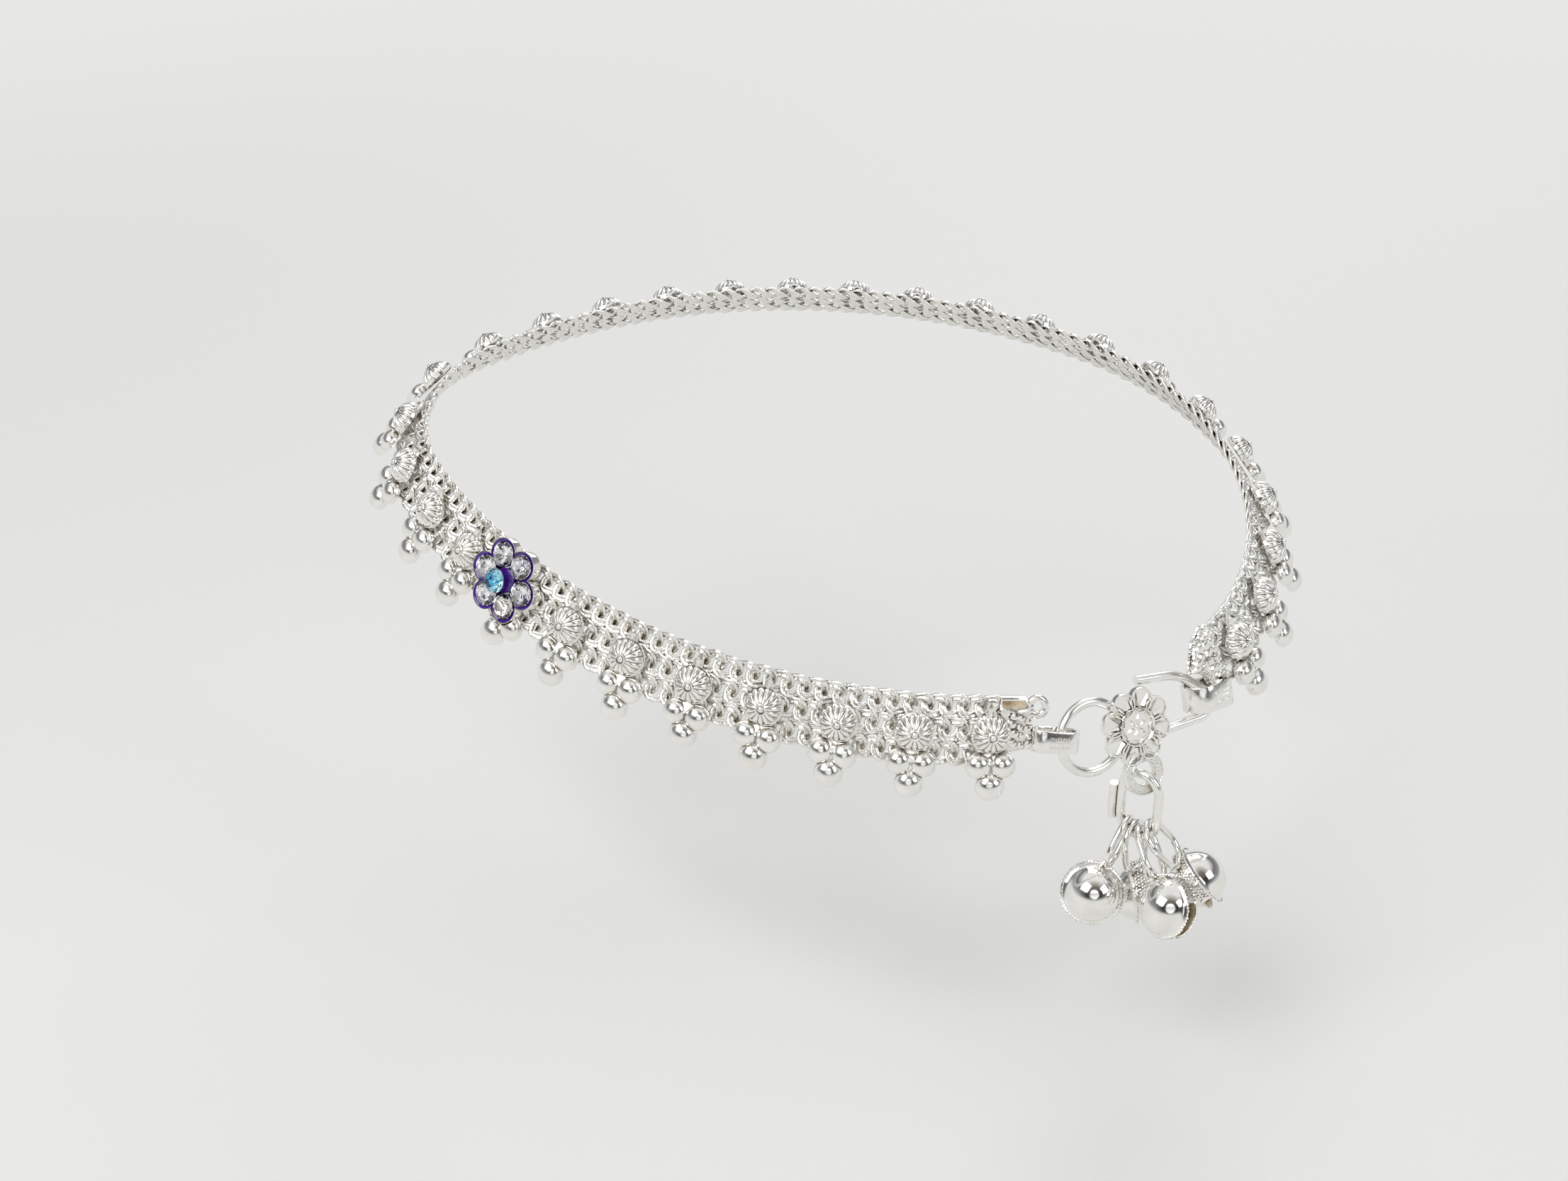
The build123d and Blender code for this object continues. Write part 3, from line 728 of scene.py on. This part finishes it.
def build_drops():
    master = plain_drop()
    for number, station in enumerate(drop_places(), start=1):
        lean = turned("Z", wobble(DROP_LEAN))
        shape = Shape().join(master, place(station, out=DROP_SEAT) @ lean)
        make_piece(f"stamped_drop_{number:02d}", shape, [SILVER], [f"drop_{number:02d}"])


# ======== enamelled flower
def petal_circles(edge):
    """The flower's petals and the disc between them, drawn in by edge."""
    circles = [(x, y, PETAL_RADIUS - edge) for x, y in around(PETALS, PETAL_REACH)]
    return circles + [(0, 0, PETAL_REACH)]


def flower_body():
    """The silver flower: thin raised edge, hollow for the stones and the middle post."""
    levels = [(0.12, 0), (0.0, 0.12), (0.0, 1.14), (0.03, 1.21), (0.08, 1.21), (0.11, 1.1),
              (0.12, 0.45)]
    cup = [(0.85, 0.5), (0.85, 1.7), (1.0, 1.95), (1.3, 2.5), (1.36, 2.62), (1.3, 2.62), (1.0, 2.05),
           (0.0, 1.9)]
    return Shape().add(*star_solid(petal_circles(0), levels, 192)).add(*lathe(cup, 32))


def flower_trefoil():
    """The flower's trefoil, turned about its middle and pressed flat where petals cover it."""
    middle = TREFOIL_MIDDLE + FLOWER_TREFOIL_UP - FLOWER_UP
    hang = moved(FLOWER_TREFOIL_ALONG, middle) @ turned("Z", FLOWER_TREFOIL_TURN)
    shape = Shape().join(trefoil(-TREFOIL_MIDDLE, 1.02), hang)
    petals = petal_circles(-0.1)
    for point in shape.points:
        if any(hypot(point.x - x, point.y - y) < radius for x, y, radius in petals):
            point.z = min(point.z, FLOWER_THICK - 0.1)
    return shape


def ground_limit(spot, angle):
    """How far the enamel of one petal runs from its stone: petal edge, next petal or post."""
    dx, dy = polar(1, angle)
    gap = spot - PETAL_REACH
    edge = PETAL_RADIUS - PETAL_EDGE
    limits = [-gap * dx + sqrt((gap * dx) ** 2 - gap ** 2 + edge ** 2)]
    for slope in (tan(pi / PETALS), -tan(pi / PETALS)):
        run = dy - dx * slope
        if abs(run) > 1e-6 and spot * slope / run > 0:
            limits.append(spot * slope / run)
    inner = (spot * dx) ** 2 - spot ** 2 + POST_SQUARE
    if inner > 0 and -spot * dx - sqrt(inner) > 0:
        limits.append(-spot * dx - sqrt(inner))
    return min(limits)


def petal_ground():
    """The enamel round one stone, from under its edge up to the petal's silver rim."""
    points = []
    steps = 72
    shares = (-0.25, 0.0, 0.35, 0.75, 0.93, 1.0)
    for share in shares:
        for angle in turns(steps, 0.5):
            near = STONE_RADIUS + 0.02
            far = max(ground_limit(STONE_REACH, angle), near + 0.01)
            reach = near + (far - near) * share if share >= 0 else near - 0.3
            x = STONE_REACH + reach * cos(angle)
            y = reach * sin(angle)
            rise = max(hypot(x - PETAL_REACH, y) - PETAL_RADIUS + 0.5, 0)
            high = GROUND_UP + 0.7 * rise ** 2 if share >= 0 else GROUND_UP - 0.4
            points.append((x, y, high))
    return points, ring_faces(len(shares), steps)


def flower_glaze():
    """Violet ground round every stone, and a violet sleeve on the middle post."""
    shape = Shape()
    for number in range(PETALS):
        shape.add(*petal_ground(), move=turned("Z", 360 / PETALS * number))
    sleeve = [(1.35, 0.95), (1.05, 1.08), (0.95, 1.4), (0.96, 1.8), (1.04, 1.98)]
    return shape.add(*lathe(sleeve, 32))


def facet_rows(rows, tip):
    """Rows of (count, reach, turn, height) round the middle, and the point at the bottom."""
    points = [(x, y, height) for count, reach, turn, height in rows
              for x, y in around(count, reach, turn)]
    return points + [(0, 0, tip)]


def cut_stone(radius, height):
    """A round cut stone: table, kite and star facets, girdle and pavilion to a small culet."""
    crown = 0.4 * height
    girdle = 0.06 * height
    points = facet_rows([
        (8, 0.55 * radius, 22.5, height), (8, 0.79 * radius, 0, height - 0.45 * crown),
        (16, radius, 0, height - crown), (16, radius, 0, height - crown - girdle),
        (8, 0.52 * radius, 22.5, 0.28 * height)], 0)
    faces = [tuple(range(8))]
    for table in range(8):
        after = (table + 1) % 8
        left, far, right = (16 + (2 * table + step) % 16 for step in range(3))
        lower = 48 + table
        faces += [(table, 8 + table, 8 + after), (table, 8 + after, after),
                  (8 + table, left, far), (8 + table, far, 8 + after), (8 + after, far, right),
                  (left, left + 16, far + 16, far), (far, far + 16, right + 16, right),
                  (left + 16, lower, far + 16), (far + 16, lower, right + 16),
                  (lower, 48 + after, right + 16), (lower, 56, 48 + after)]
    return points, faces


def foil_cup(radius, height):
    """The faceted silvered back of a stone, a hair outside its lower facets."""
    radius *= 1.02
    points = facet_rows([(16, radius, 0, 0.52 * height), (8, 0.54 * radius, 22.5, 0.26 * height)],
                        -0.03)
    faces = []
    for left in range(0, 16, 2):
        far, right = left + 1, (left + 2) % 16
        lower, after = 16 + left // 2, 16 + right // 2
        faces += [(far, lower, left), (right, lower, far), (right, after, lower),
                  (after, 24, lower)]
    return points, faces


def build_flower():
    spot = place(FLOWER_PLACE, up=FLOWER_UP, out=DROP_SEAT)
    body = Shape().join(flower_body(), spot).join(flower_trefoil(), spot)
    make_piece("flower_silver", body, [SILVER], ["flower_setting"])
    make_piece("flower_violet", Shape().join(flower_glaze(), spot), [ENAMEL], ["flower_enamel"],
               50)
    backing = Shape()
    for number, (x, y) in enumerate(around(PETALS, STONE_REACH), start=1):
        seat = spot @ moved(x, y, STONE_UP) @ turned("Z", STONE_TURN * number)
        seat = seat @ turned("X", wobble(STONE_LEAN))
        stone = Shape().add(*cut_stone(STONE_RADIUS, STONE_HEIGHT), move=seat)
        backing.add(*foil_cup(STONE_RADIUS, STONE_HEIGHT), move=seat)
        make_piece(f"petal_stone_{number}", stone, [CLEAR], [f"flower_stone_{number}"],
                   1)
    make_piece("stone_backing", backing, [BRIGHT_FOIL], [], sharp=1)
    seat = spot @ moved(z=CENTRE_STONE_UP)
    stone = Shape().add(*cut_stone(CENTRE_STONE_RADIUS, CENTRE_STONE_HEIGHT), move=seat)
    make_piece("middle_stone", stone, [BLUE], ["flower_stone_centre"], 1)
    bed = Shape().add(*foil_cup(CENTRE_STONE_RADIUS, CENTRE_STONE_HEIGHT), move=seat)
    make_piece("middle_backing", bed, [BLUE_FOIL], [], sharp=1)


# ======== end caps and straps
def strap_path(length, depth):
    """The strap's middle line seen end on, x along the band and z out of it."""
    radius = depth / 2 - STRAP_WALL / 2
    half = length / 2 - depth / 2
    return [(end * half + x, y) for end, first in ((1, -90), (-1, 90))
            for x, y in arc_points((0, 0), radius, first, first + 180, 14)]


def strap(at, up, out, tilt, length, height, depth):
    """A folded strap with rounded edges: every section is a flat bar."""
    section = [(-0.5, -0.4), (-0.4, -0.5), (0.4, -0.5), (0.5, -0.4), (0.5, 0.4), (0.4, 0.5),
               (-0.4, 0.5), (-0.5, 0.4)]
    path = strap_path(length, depth)
    count = len(path)
    points = []
    for number, (x, z) in enumerate(path):
        before = path[number - 1]
        after = path[(number + 1) % count]
        run = Vector((after[0] - before[0], after[1] - before[1])).normalized()
        for across, high in section:
            off = across * STRAP_WALL
            rise = copysign(height / 2 - (0.5 - abs(high)) * 0.8, high)
            points.append((x + run.y * off, rise, z - run.x * off))
    return Shape().add(points, ring_faces(count, len(section), joined=True),
                       place(at, up=up, out=out) @ turned("Z", tilt))


def stamped_bumps(at, up, out, tilt, length, _, depth):
    """Plain raised marks in rows on the strap's front, like a worn stamp with no letters."""
    shape = Shape()
    spot = place(at, up=up, out=out + depth / 2 - 0.03) @ turned("Z", tilt)
    for row in range(3):
        for column in range(8):
            if random() < WORN_SHARE:
                continue
            x = -0.1 + (column - 2.6) * 0.27 + wobble(0.04)
            y = (row - 1) * 0.5 + wobble(0.05)
            if abs(x) > length / 2 - depth / 2 + 0.3:
                continue
            stretch = stretched(uniform(0.7, 1.0), uniform(0.9, 1.5), 0.6)
            shape.add(*grain(0.13, 6), move=spot @ moved(x, y) @ stretch)
    return shape


def grains_on(spots, base, size):
    shape = Shape()
    for x, y in spots:
        radius = size * uniform(0.75, 1.2)
        stretch = stretched(uniform(0.9, 1.4), uniform(0.8, 1.2), 0.8)
        shape.add(*grain(radius, 9), move=base @ moved(x, y, CAP_THICK / 2) @ stretch)
    return shape


def nugget(radius):
    """A whole small ball."""
    edge = 0.72 * radius
    return lathe([(0, -radius), (edge, -edge), (radius, 0), (edge, edge), (0, radius)], 9)


def edge_lumps(outline, side, base, size):
    """Two layers of solder lumps all along an outline."""
    shape = Shape()
    corners = [Vector(corner) for corner in outline]
    for start, end in zip(corners, corners[1:] + corners[:1]):
        parts = max(1, round((end - start).length / (1.35 * size)))
        for part in range(parts):
            spot = start.lerp(end, (part + 0.5) / parts)
            for level in (-0.27, 0.25):
                stretch = stretched(uniform(0.8, 1.3), uniform(0.8, 1.3), 0.9)
                move = base @ moved(side * spot.x, spot.y, level + wobble(0.08))
                shape.add(*nugget(size * uniform(0.85, 1.1)), move=move @ stretch)
    return shape


def cap_body(outline, side, base):
    points = [(side * x, y) for x, y in outline]
    return Shape().add(*prism(points, -CAP_THICK / 2, CAP_THICK / 2, CAP_BEVEL), move=base)


def build_left_cap():
    base = place(LEFT_END)
    shape = cap_body(LEFT_CAP, 1, base)
    frame_bar = [(0.1, 2.35, 0.5), (0.15, 3.35, 0.5), (2.5, 3.3, 0.5), (3.0, 2.7, 0.5),
                 (2.7, 2.1, 0.5), (1.6, 1.95, 0.5)]
    shape.add(*tube(frame_bar, 0.26, 8, closed=True), move=base)
    edge = [(1.5, 1.5), (2.2, 1.3), (2.9, 1.0), (1.2, 0.7), (2.0, 0.4), (2.8, 0.2), (1.4, -0.3),
            (2.2, -0.5), (3.0, -0.7), (1.3, -1.3), (2.1, -1.5), (2.9, -1.4)]
    shape.join(grains_on(edge, base, 0.46)).join(edge_lumps(LEFT_CAP[2:7], 1, base, 0.32))
    ring = [(x, y, 0) for x, y in around(28, END_RING_RADIUS)]
    shape.add(*tube(ring, END_RING_WIRE, WIRE_SIDES, closed=True),
              move=base @ moved(END_RING_ALONG, END_RING_UP))
    shape.join(strap(*LEFT_STRAP)).join(stamped_bumps(*LEFT_STRAP))
    make_piece("cap_left", shape, [SILVER], ["end_cap_left"])
    hollow = [(0.2, 2.4), (2.6, 2.3), (2.7, 3.0), (2.3, 3.2), (0.3, 3.25)]
    recess = Shape().add(*prism(hollow, 0.4, 0.62, 0.05), move=base)
    for _ in range(22):
        spot = moved(uniform(0.4, 2.5), uniform(2.45, 3.1), 0.6)
        recess.add(*grain(uniform(0.1, 0.18), 6), move=base @ spot)
    make_piece("cap_left_recess", recess, [TAN], [])


def build_right_cap():
    base = place(RIGHT_END)
    shape = cap_body(RIGHT_CAP, -1, base)
    lumps = [(-0.5, 3.0), (-1.3, 2.9), (-0.6, 2.0), (-1.5, 2.1), (-2.4, 2.3), (-0.5, 1.0),
             (-1.4, 1.2), (-2.5, 1.3), (-3.3, 1.1), (-0.6, 0.1), (-1.6, 0.3), (-2.6, 0.5),
             (-3.7, 0.6), (-0.7, -0.9), (-1.4, -0.8), (-0.7, -1.9), (-1.2, -2.6), (-0.6, -3.1)]
    shape.join(grains_on(lumps, base, 0.5)).join(edge_lumps(RIGHT_CAP, -1, base, 0.34))
    shape.join(strap(*RIGHT_STRAP)).join(stamped_bumps(*RIGHT_STRAP))
    make_piece("cap_right", shape, [SILVER], ["end_cap_right"])


# ======== clasp
CLASP = place(CLASP_PLACE, sink=CLASP_SINK) @ moved(y=CLASP_UP)


def rounded_path(corners, radii):
    """Straight runs between corners, with each inner corner rounded to its radius."""
    corners = [Vector(corner) for corner in corners]
    path = corners[:1]
    for before, here, after, radius in zip(corners, corners[1:], corners[2:], radii):
        back = (before - here).normalized()
        ahead = (after - here).normalized()
        half = back.angle(ahead) / 2
        run = radius / tan(half)
        middle = here + (back + ahead).normalized() * (radius / sin(half))
        start = here + back * run - middle
        end = here + ahead * run - middle
        first = atan2(start.y, start.x)
        sweep = (atan2(end.y, end.x) - first + pi) % (2 * pi) - pi
        path += [middle + Vector(polar(1, first + sweep * step / 8)) * radius for step in range(9)]
    return path + corners[-1:]


def hook_path():
    """The one bent wire: round catch on the left, leg behind the plate, open hook on the right."""
    arc = arc_points((CATCH_X, 0), CATCH_RADIUS, CATCH_START, CATCH_END, 40)
    catch = [Vector(point) for point in arc]
    tail = catch[0] + Vector(polar(1, radians(CATCH_START - 90))) * CATCH_TAIL
    corner = catch[-1] + Vector(polar(1, radians(CATCH_END - 270))) * CATCH_RUN
    leg = rounded_path([catch[-1], corner, (BEND_X, BEND_LOW), (BEND_X, BEND_HIGH),
                        HOOK_SHOULDER, HOOK_TIP], HOOK_CORNERS)
    dense = [tail]
    for point in catch + leg[1:]:
        start = dense[-1]
        gap = (point - start).length
        if gap < 0.05:
            continue
        parts = max(1, round(gap / HOOK_STEP))
        dense += [start.lerp(point, part / parts) for part in range(1, parts + 1)]
    return [(*point, 0) for point in dense]


def ray(length, half_width, height):
    """A wedge with a sharp crest, broad at the origin and pointed at its outer end."""
    points = [(0, -half_width, 0), (0, half_width, 0), (length, 0, 0), (0, 0, height),
              (0.55 * length, 0, height * 0.8)]
    faces = [(0, 2, 4, 3), (2, 1, 3, 4), (0, 3, 1), (0, 1, 2)]
    return points, faces


def plate_petal():
    """One petal: thin raised rim, sunk floor and two sharp rays that point outwards."""
    radius = PLATE_PETAL_RADIUS
    top = PLATE_FRONT - PLATE_BACK
    profile = [(radius - 0.08, 0), (radius, 0.08), (radius, top - 0.08), (radius - 0.05, top + 0.03),
               (radius - 0.2, top + 0.03), (radius - 0.27, top - 0.14), (0.4, top - 0.18),
               (0, top - 0.18)]
    shape = Shape().add(*lathe(profile, 30))
    for side in (-1, 1):
        shape.add(*ray(1.6, 0.34, 0.26),
                  move=moved(x=-0.6, y=0.42 * side, z=top - 0.17) @ turned("Z", 13 * side))
    return shape


def clasp_plate():
    """Eight petals round a rimmed disc, whose middle holds a plain rosette."""
    shape = Shape()
    for number in range(PLATE_PETALS):
        heading = turned("Z", PLATE_TURN + 360 * number / PLATE_PETALS)
        shape.join(plate_petal(), moved(z=PLATE_BACK) @ heading @ moved(x=PLATE_PETAL_REACH))
    disc = PLATE_DISC
    top = PLATE_FRONT
    profile = [(disc, PLATE_BACK), (disc, top + 0.02), (disc - 0.06, top + 0.18),
               (disc - 0.16, top + 0.2), (disc - 0.27, top + 0.02), (disc - 0.34, top - 0.08),
               (0, top - 0.08)]
    shape.add(*lathe(profile, 48))
    for number in range(6):
        leaf = turned("Z", 60 * number + 12) @ moved(x=0.3)
        shape.add(*ridge(1.05, 0.27, 0.24, 0.55), move=moved(z=top - 0.09) @ leaf)
    return shape.add(*lathe(dome_profile(0.3, 0.26, 4), 14), move=moved(z=top - 0.08))


def eyelet():
    """The flat ring below the plate, with softened edges and a thin raised lip in its hole."""
    low = EYELET_BACK
    high = PLATE_FRONT - 0.08
    rim = EYELET_RADIUS
    hole = EYELET_HOLE
    profile = [(rim, low + 0.1), (rim, high), (rim - 0.06, high + 0.08), (rim - 0.16, high + 0.08),
               (rim - 0.22, high), (hole + 0.34, high), (hole + 0.28, high + 0.09),
               (hole + 0.1, high + 0.09), (hole, high - 0.06), (hole, low + 0.12),
               (hole + 0.12, low), (rim - 0.1, low), (rim, low + 0.1)]
    neck = [(-1.5, 1.2), (1.5, 1.2), (1.25, 2.6), (-1.25, 2.6)]
    return Shape().add(*lathe(profile, 40)).add(*prism(neck, low + 0.15, high, 0.06))


def build_clasp():
    wire = Shape().add(*tube(hook_path(), HOOK_WIRE, WIRE_SIDES), move=CLASP)
    make_piece("hook_wire", wire, [SILVER_WIRE], ["clasp_hook"], sharp=50)
    plate = Shape().join(clasp_plate(), CLASP @ moved(PLATE_X, PLATE_UP))
    make_piece("clasp_flower", plate, [SILVER], ["clasp_hook"], sharp=28)
    ring = Shape().join(eyelet(), CLASP @ moved(PLATE_X + EYELET_X, PLATE_UP - EYELET_DROP))
    make_piece("clasp_eyelet", ring, [SILVER_STAMPED], ["clasp_hook"], sharp=40)


# ======== hanging bells
def stadium_path(half_width, low, high):
    """A closed round-ended path in the XZ plane."""
    top = arc_points((0, high - half_width), half_width, 0, 180, 12)
    bottom = arc_points((0, low + half_width), half_width, 180, 360, 12)
    return [(x, 0, z) for x, z in (*top, *bottom)]


def ring_wires():
    path = stadium_path(RING_HALF_WIDTH, RING_BOTTOM, RING_TOP)
    shape = Shape().add(*tube(path, RING_WIRE, WIRE_SIDES, closed=True, up=(0, 1, 0)))
    low = RING_BOTTOM + RING_HALF_WIDTH
    reach = RING_HALF_WIDTH + LAP_OFFSET * 2 * RING_WIRE
    lap = [(x, 0, z) for x, z in arc_points((0, low), reach, 180 + LAP_ANGLE, 180, 6)]
    lap += [(-reach, 0, low + (LAP_TOP - low) * part / 4) for part in range(1, 5)]
    return shape.add(*tube(lap, RING_WIRE, WIRE_SIDES, up=(0, 1, 0)))


def half_cup():
    """One cup of a bell: thin shell with a flange, its pole at +z; inside faces are tarnished."""
    edge = SLOT_WIDTH / 2
    side = SEAM_THICK / 2
    rim = BELL_RADIUS + SEAM_RIM
    inner = BELL_RADIUS - BELL_WALL
    foot = asin((side + 0.3) / BELL_RADIUS)
    outer = [polar(BELL_RADIUS, foot + (pi / 2 - foot) * step / 12) for step in range(13)]
    flange = [(rim - 0.12, edge), (rim, edge + 0.06), (rim - 0.02, side - 0.06),
              (rim - 0.12, side), (rim - 0.28, side + 0.06), (rim - 0.38, side + 0.16)]
    start = asin(edge / inner)
    inside = [polar(inner, start + (pi / 2 - start) * step / 10) for step in range(11)]
    lining = inside[::-1] + [(rim - 0.12, edge)]
    return Shape().add(*lathe(flange + outer, 48)).add(*lathe(lining, 48), paint=1)


def seam_strip():
    """The closed stretch of the seam between the cups: all but the slot below."""
    rim = BELL_RADIUS + SEAM_RIM * 0.7
    inner = BELL_RADIUS - BELL_WALL
    half = SLOT_WIDTH / 2 + 0.02
    first = degrees(asin(SLOT_TOP / rim))
    points = []
    steps = 40
    for step in range(steps + 1):
        angle = radians(first + (180 - 2 * first) * step / steps)
        for reach, across in ((inner, -half), (rim, -half), (rim, half), (inner, half)):
            points.append((across, *polar(reach, angle)))
    return points, ring_faces(steps + 1, 4, capped=True)


def milgrain():
    """Uneven beads along the seam: a line on each flange, three over the closed stretch."""
    shape = Shape()
    flange = (SLOT_WIDTH / 2 + SEAM_THICK / 2) / 2
    lines = [(-flange, 0.5), (-flange / 2, 0.0), (0, 0.5), (flange / 2, 0.0), (flange, 0.5)]
    for across, shift in lines:
        for y, z in around(SEAM_BEADS, BELL_RADIUS + SEAM_RIM - 0.05, shift * 360 / SEAM_BEADS):
            if abs(across) < flange and z < SLOT_TOP + 0.3:
                continue
            out = degrees(atan2(y, z))
            seat = moved(across + wobble(0.05), y, z) @ turned("X", -out)
            shape.add(*grain(uniform(0.11, 0.19), 6), move=seat)
    return shape


def bell(seam):
    body = Shape().join(half_cup(), turned("Y", 90)).join(half_cup(), turned("Y", -90))
    body.add(*seam_strip()).join(milgrain())
    shape = Shape().join(body, turned("Z", seam))
    loop = stadium_path(LOOP_HALF, LOOP_FOOT, LOOP_HEAD)
    shape.add(*tube(loop, LOOP_WIRE, 12, closed=True, up=(0, 1, 0)), move=turned("Z", 90))
    return shape.add(*lathe([(0.95, 2.85), (0.8, 3.1), (0.5, 3.25), (0, 3.3)], 16))


def bell_place(along, lean, heading, turn):
    """Where a bell hangs from the ring's round foot."""
    low = RING_BOTTOM + RING_HALF_WIDTH - sqrt(RING_HALF_WIDTH ** 2 - along ** 2)
    hold = moved(*polar(along, radians(RING_HEADING)), low)
    leaning = turned("Z", heading) @ turned("Y", -lean) @ turned("Z", RING_HEADING - heading + turn)
    return hold @ leaning @ moved(z=-HANG)


def build_bells():
    middle = (EYELET_BACK + PLATE_FRONT) / 2
    pivot = CLASP @ moved(PLATE_X + EYELET_X, PLATE_UP - EYELET_DROP, middle)
    spot = pivot.to_translation()
    axis = pivot.to_3x3() @ Vector((0, 0, 1))
    settle = Matrix.Translation(spot) @ turned(axis, SETTLE_TURN)
    ring = Shape().join(ring_wires(), settle @ turned("Z", RING_HEADING))
    make_piece("jump_ring_wire", ring, [SILVER_WIRE], ["jump_ring"], sharp=50, body="bell_drop")
    for name, along, lean, heading, turn, seam in BELLS:
        shape = Shape().join(bell(seam), settle @ bell_place(along, lean, heading, turn))
        make_piece(f"ghungroo_{name[-1]}", shape, [SILVER_BELL, TAN], [name], sharp=40,
                   body="bell_drop")


# ======== stage, metres
FLOOR_LEVEL = -0.052
FLOOR_HALF = 12.0
FLOOR_NEAR = 0.1  # from the middle, where the floor starts to fade
FLOOR_FAR = 0.45
BACKDROP = (0.8, 0.8, 0.79, 1)
BACKDROP_TOP = 0.3  # how high metal and glass still see it, as the sine of the angle
CARD_HEADING = (0.15, -0.85, 0.5)
LAMPS = [
    # name, place, width, power in W, colour
    ("key", (-0.24, -0.30, 0.42), 0.34, 1.5, (1.0, 0.985, 0.96)),
    ("fill", (0.42, -0.20, 0.30), 0.24, 0.5, (0.96, 0.98, 1.0)),
    ("back", (0.05, 0.42, 0.34), 0.34, 0.8, (1.0, 1.0, 1.0)),
]


def build_camera():
    data = bpy.data.cameras.new("camera")
    data.lens = CAMERA_LENS
    data.sensor_width = 36.0
    data.clip_start = 0.005
    data.clip_end = 20.0
    camera = add_object("camera", data)
    camera.location = Vector(CAMERA_PLACE) * MM
    camera.rotation_euler = (radians(90 - CAMERA_DIP), 0, radians(CAMERA_TURN))
    bpy.context.scene.camera = camera


def build_lamps():
    for name, spot, width, power, colour in LAMPS:
        data = bpy.data.lights.new(name, "AREA")
        data.size = width
        data.energy = power
        data.color = colour
        lamp = add_object(name, data)
        lamp.location = spot
        lamp.rotation_euler = (-Vector(spot)).to_track_quat("-Z", "Y").to_euler()


def reckoned(tree, operation, first, second):
    """A sum or product that is kept between 0 and 1."""
    inputs = {0: first, 1: second}
    return add_node(tree, "Math", inputs, operation=operation, use_clamp=True).outputs[0]


def backdrop_share(tree, mirrored=1.0):
    """1 for rays from the camera, and `mirrored` for rays from metal and glass."""
    path = tree.nodes.new("ShaderNodeLightPath").outputs
    bounced = reckoned(tree, "ADD", path["Is Glossy Ray"], path["Is Transmission Ray"])
    weaker = reckoned(tree, "MULTIPLY", bounced, mirrored)
    return reckoned(tree, "ADD", path["Is Camera Ray"], weaker)


def build_world():
    """A pale studio with a dark card beside the camera, which gives the silver its dark marks."""
    world = bpy.data.worlds.new("studio")
    world.use_nodes = True
    bpy.context.scene.world = world
    tree = world.node_tree
    heading = tree.nodes.new("ShaderNodeTexCoord").outputs["Generated"]
    height = add_node(tree, "SeparateXYZ", {0: heading}).outputs["Z"]
    sky = ramp(tree, rescaled(tree, height, {"From Min": -1.0}), [
        (0.45, (0.62, 0.62, 0.62, 1)), (0.58, (0.34, 0.345, 0.35, 1)),
        (0.78, (0.16, 0.163, 0.17, 1)), (0.92, (0.85, 0.85, 0.85, 1))])
    toward = add_node(tree, "VectorMath", {0: heading, 1: Vector(CARD_HEADING).normalized()},
                      operation="DOT_PRODUCT")
    card = ramp(tree, toward.outputs["Value"], [
        (0.5, (1, 1, 1, 1)), (0.74, (0.5, 0.48, 0.45, 1)), (0.86, (0.2, 0.17, 0.14, 1)),
        (0.94, (0.24, 0.22, 0.2, 1)), (0.955, (4.0, 4.0, 3.9, 1))])
    studio = mixed(tree, 1.0, sky, card, "MULTIPLY")
    low = rescaled(tree, height, {"From Max": BACKDROP_TOP, "To Min": 1.0, "To Max": 0.0},
                   "SMOOTHSTEP")
    seen = mixed(tree, backdrop_share(tree, low), studio, BACKDROP)
    fill(tree, tree.nodes["Background"], {"Color": seen, "Strength": 1.0})


def floor_finish():
    """Pale card near the object, which takes its shadow, and the plain backdrop further out."""
    material, tree, shader = new_material("floor")
    fill(tree, shader, {"Base Color": BACKDROP, "Roughness": 0.7})
    spot = tree.nodes.new("ShaderNodeNewGeometry").outputs["Position"]
    reach = add_node(tree, "VectorMath", {0: spot}, operation="LENGTH").outputs["Value"]
    far = rescaled(tree, reach, {"From Min": FLOOR_NEAR, "From Max": FLOOR_FAR}, "SMOOTHSTEP")
    share = reckoned(tree, "MULTIPLY", backdrop_share(tree), far)
    plain = add_node(tree, "Emission", {"Color": BACKDROP})
    both = add_node(tree, "MixShader", {0: share, 1: shader.outputs[0], 2: plain.outputs[0]})
    fill(tree, tree.nodes["Material Output"], {"Surface": both.outputs[0]})
    return material


def build_floor():
    mesh = bpy.data.meshes.new("floor")
    corners = [(x * FLOOR_HALF, y * FLOOR_HALF, FLOOR_LEVEL)
               for x, y in ((-1, -1), (1, -1), (1, 1), (-1, 1))]
    mesh.from_pydata(corners, [], [(0, 1, 2, 3)])
    mesh.materials.append(floor_finish())
    floor = add_object("floor", mesh)


bpy.context.scene.view_settings.view_transform = "Standard"
build_camera()
build_chain()
build_drops()
build_flower()
build_left_cap()
build_right_cap()
build_clasp()
build_bells()
build_lamps()
build_world()
build_floor()
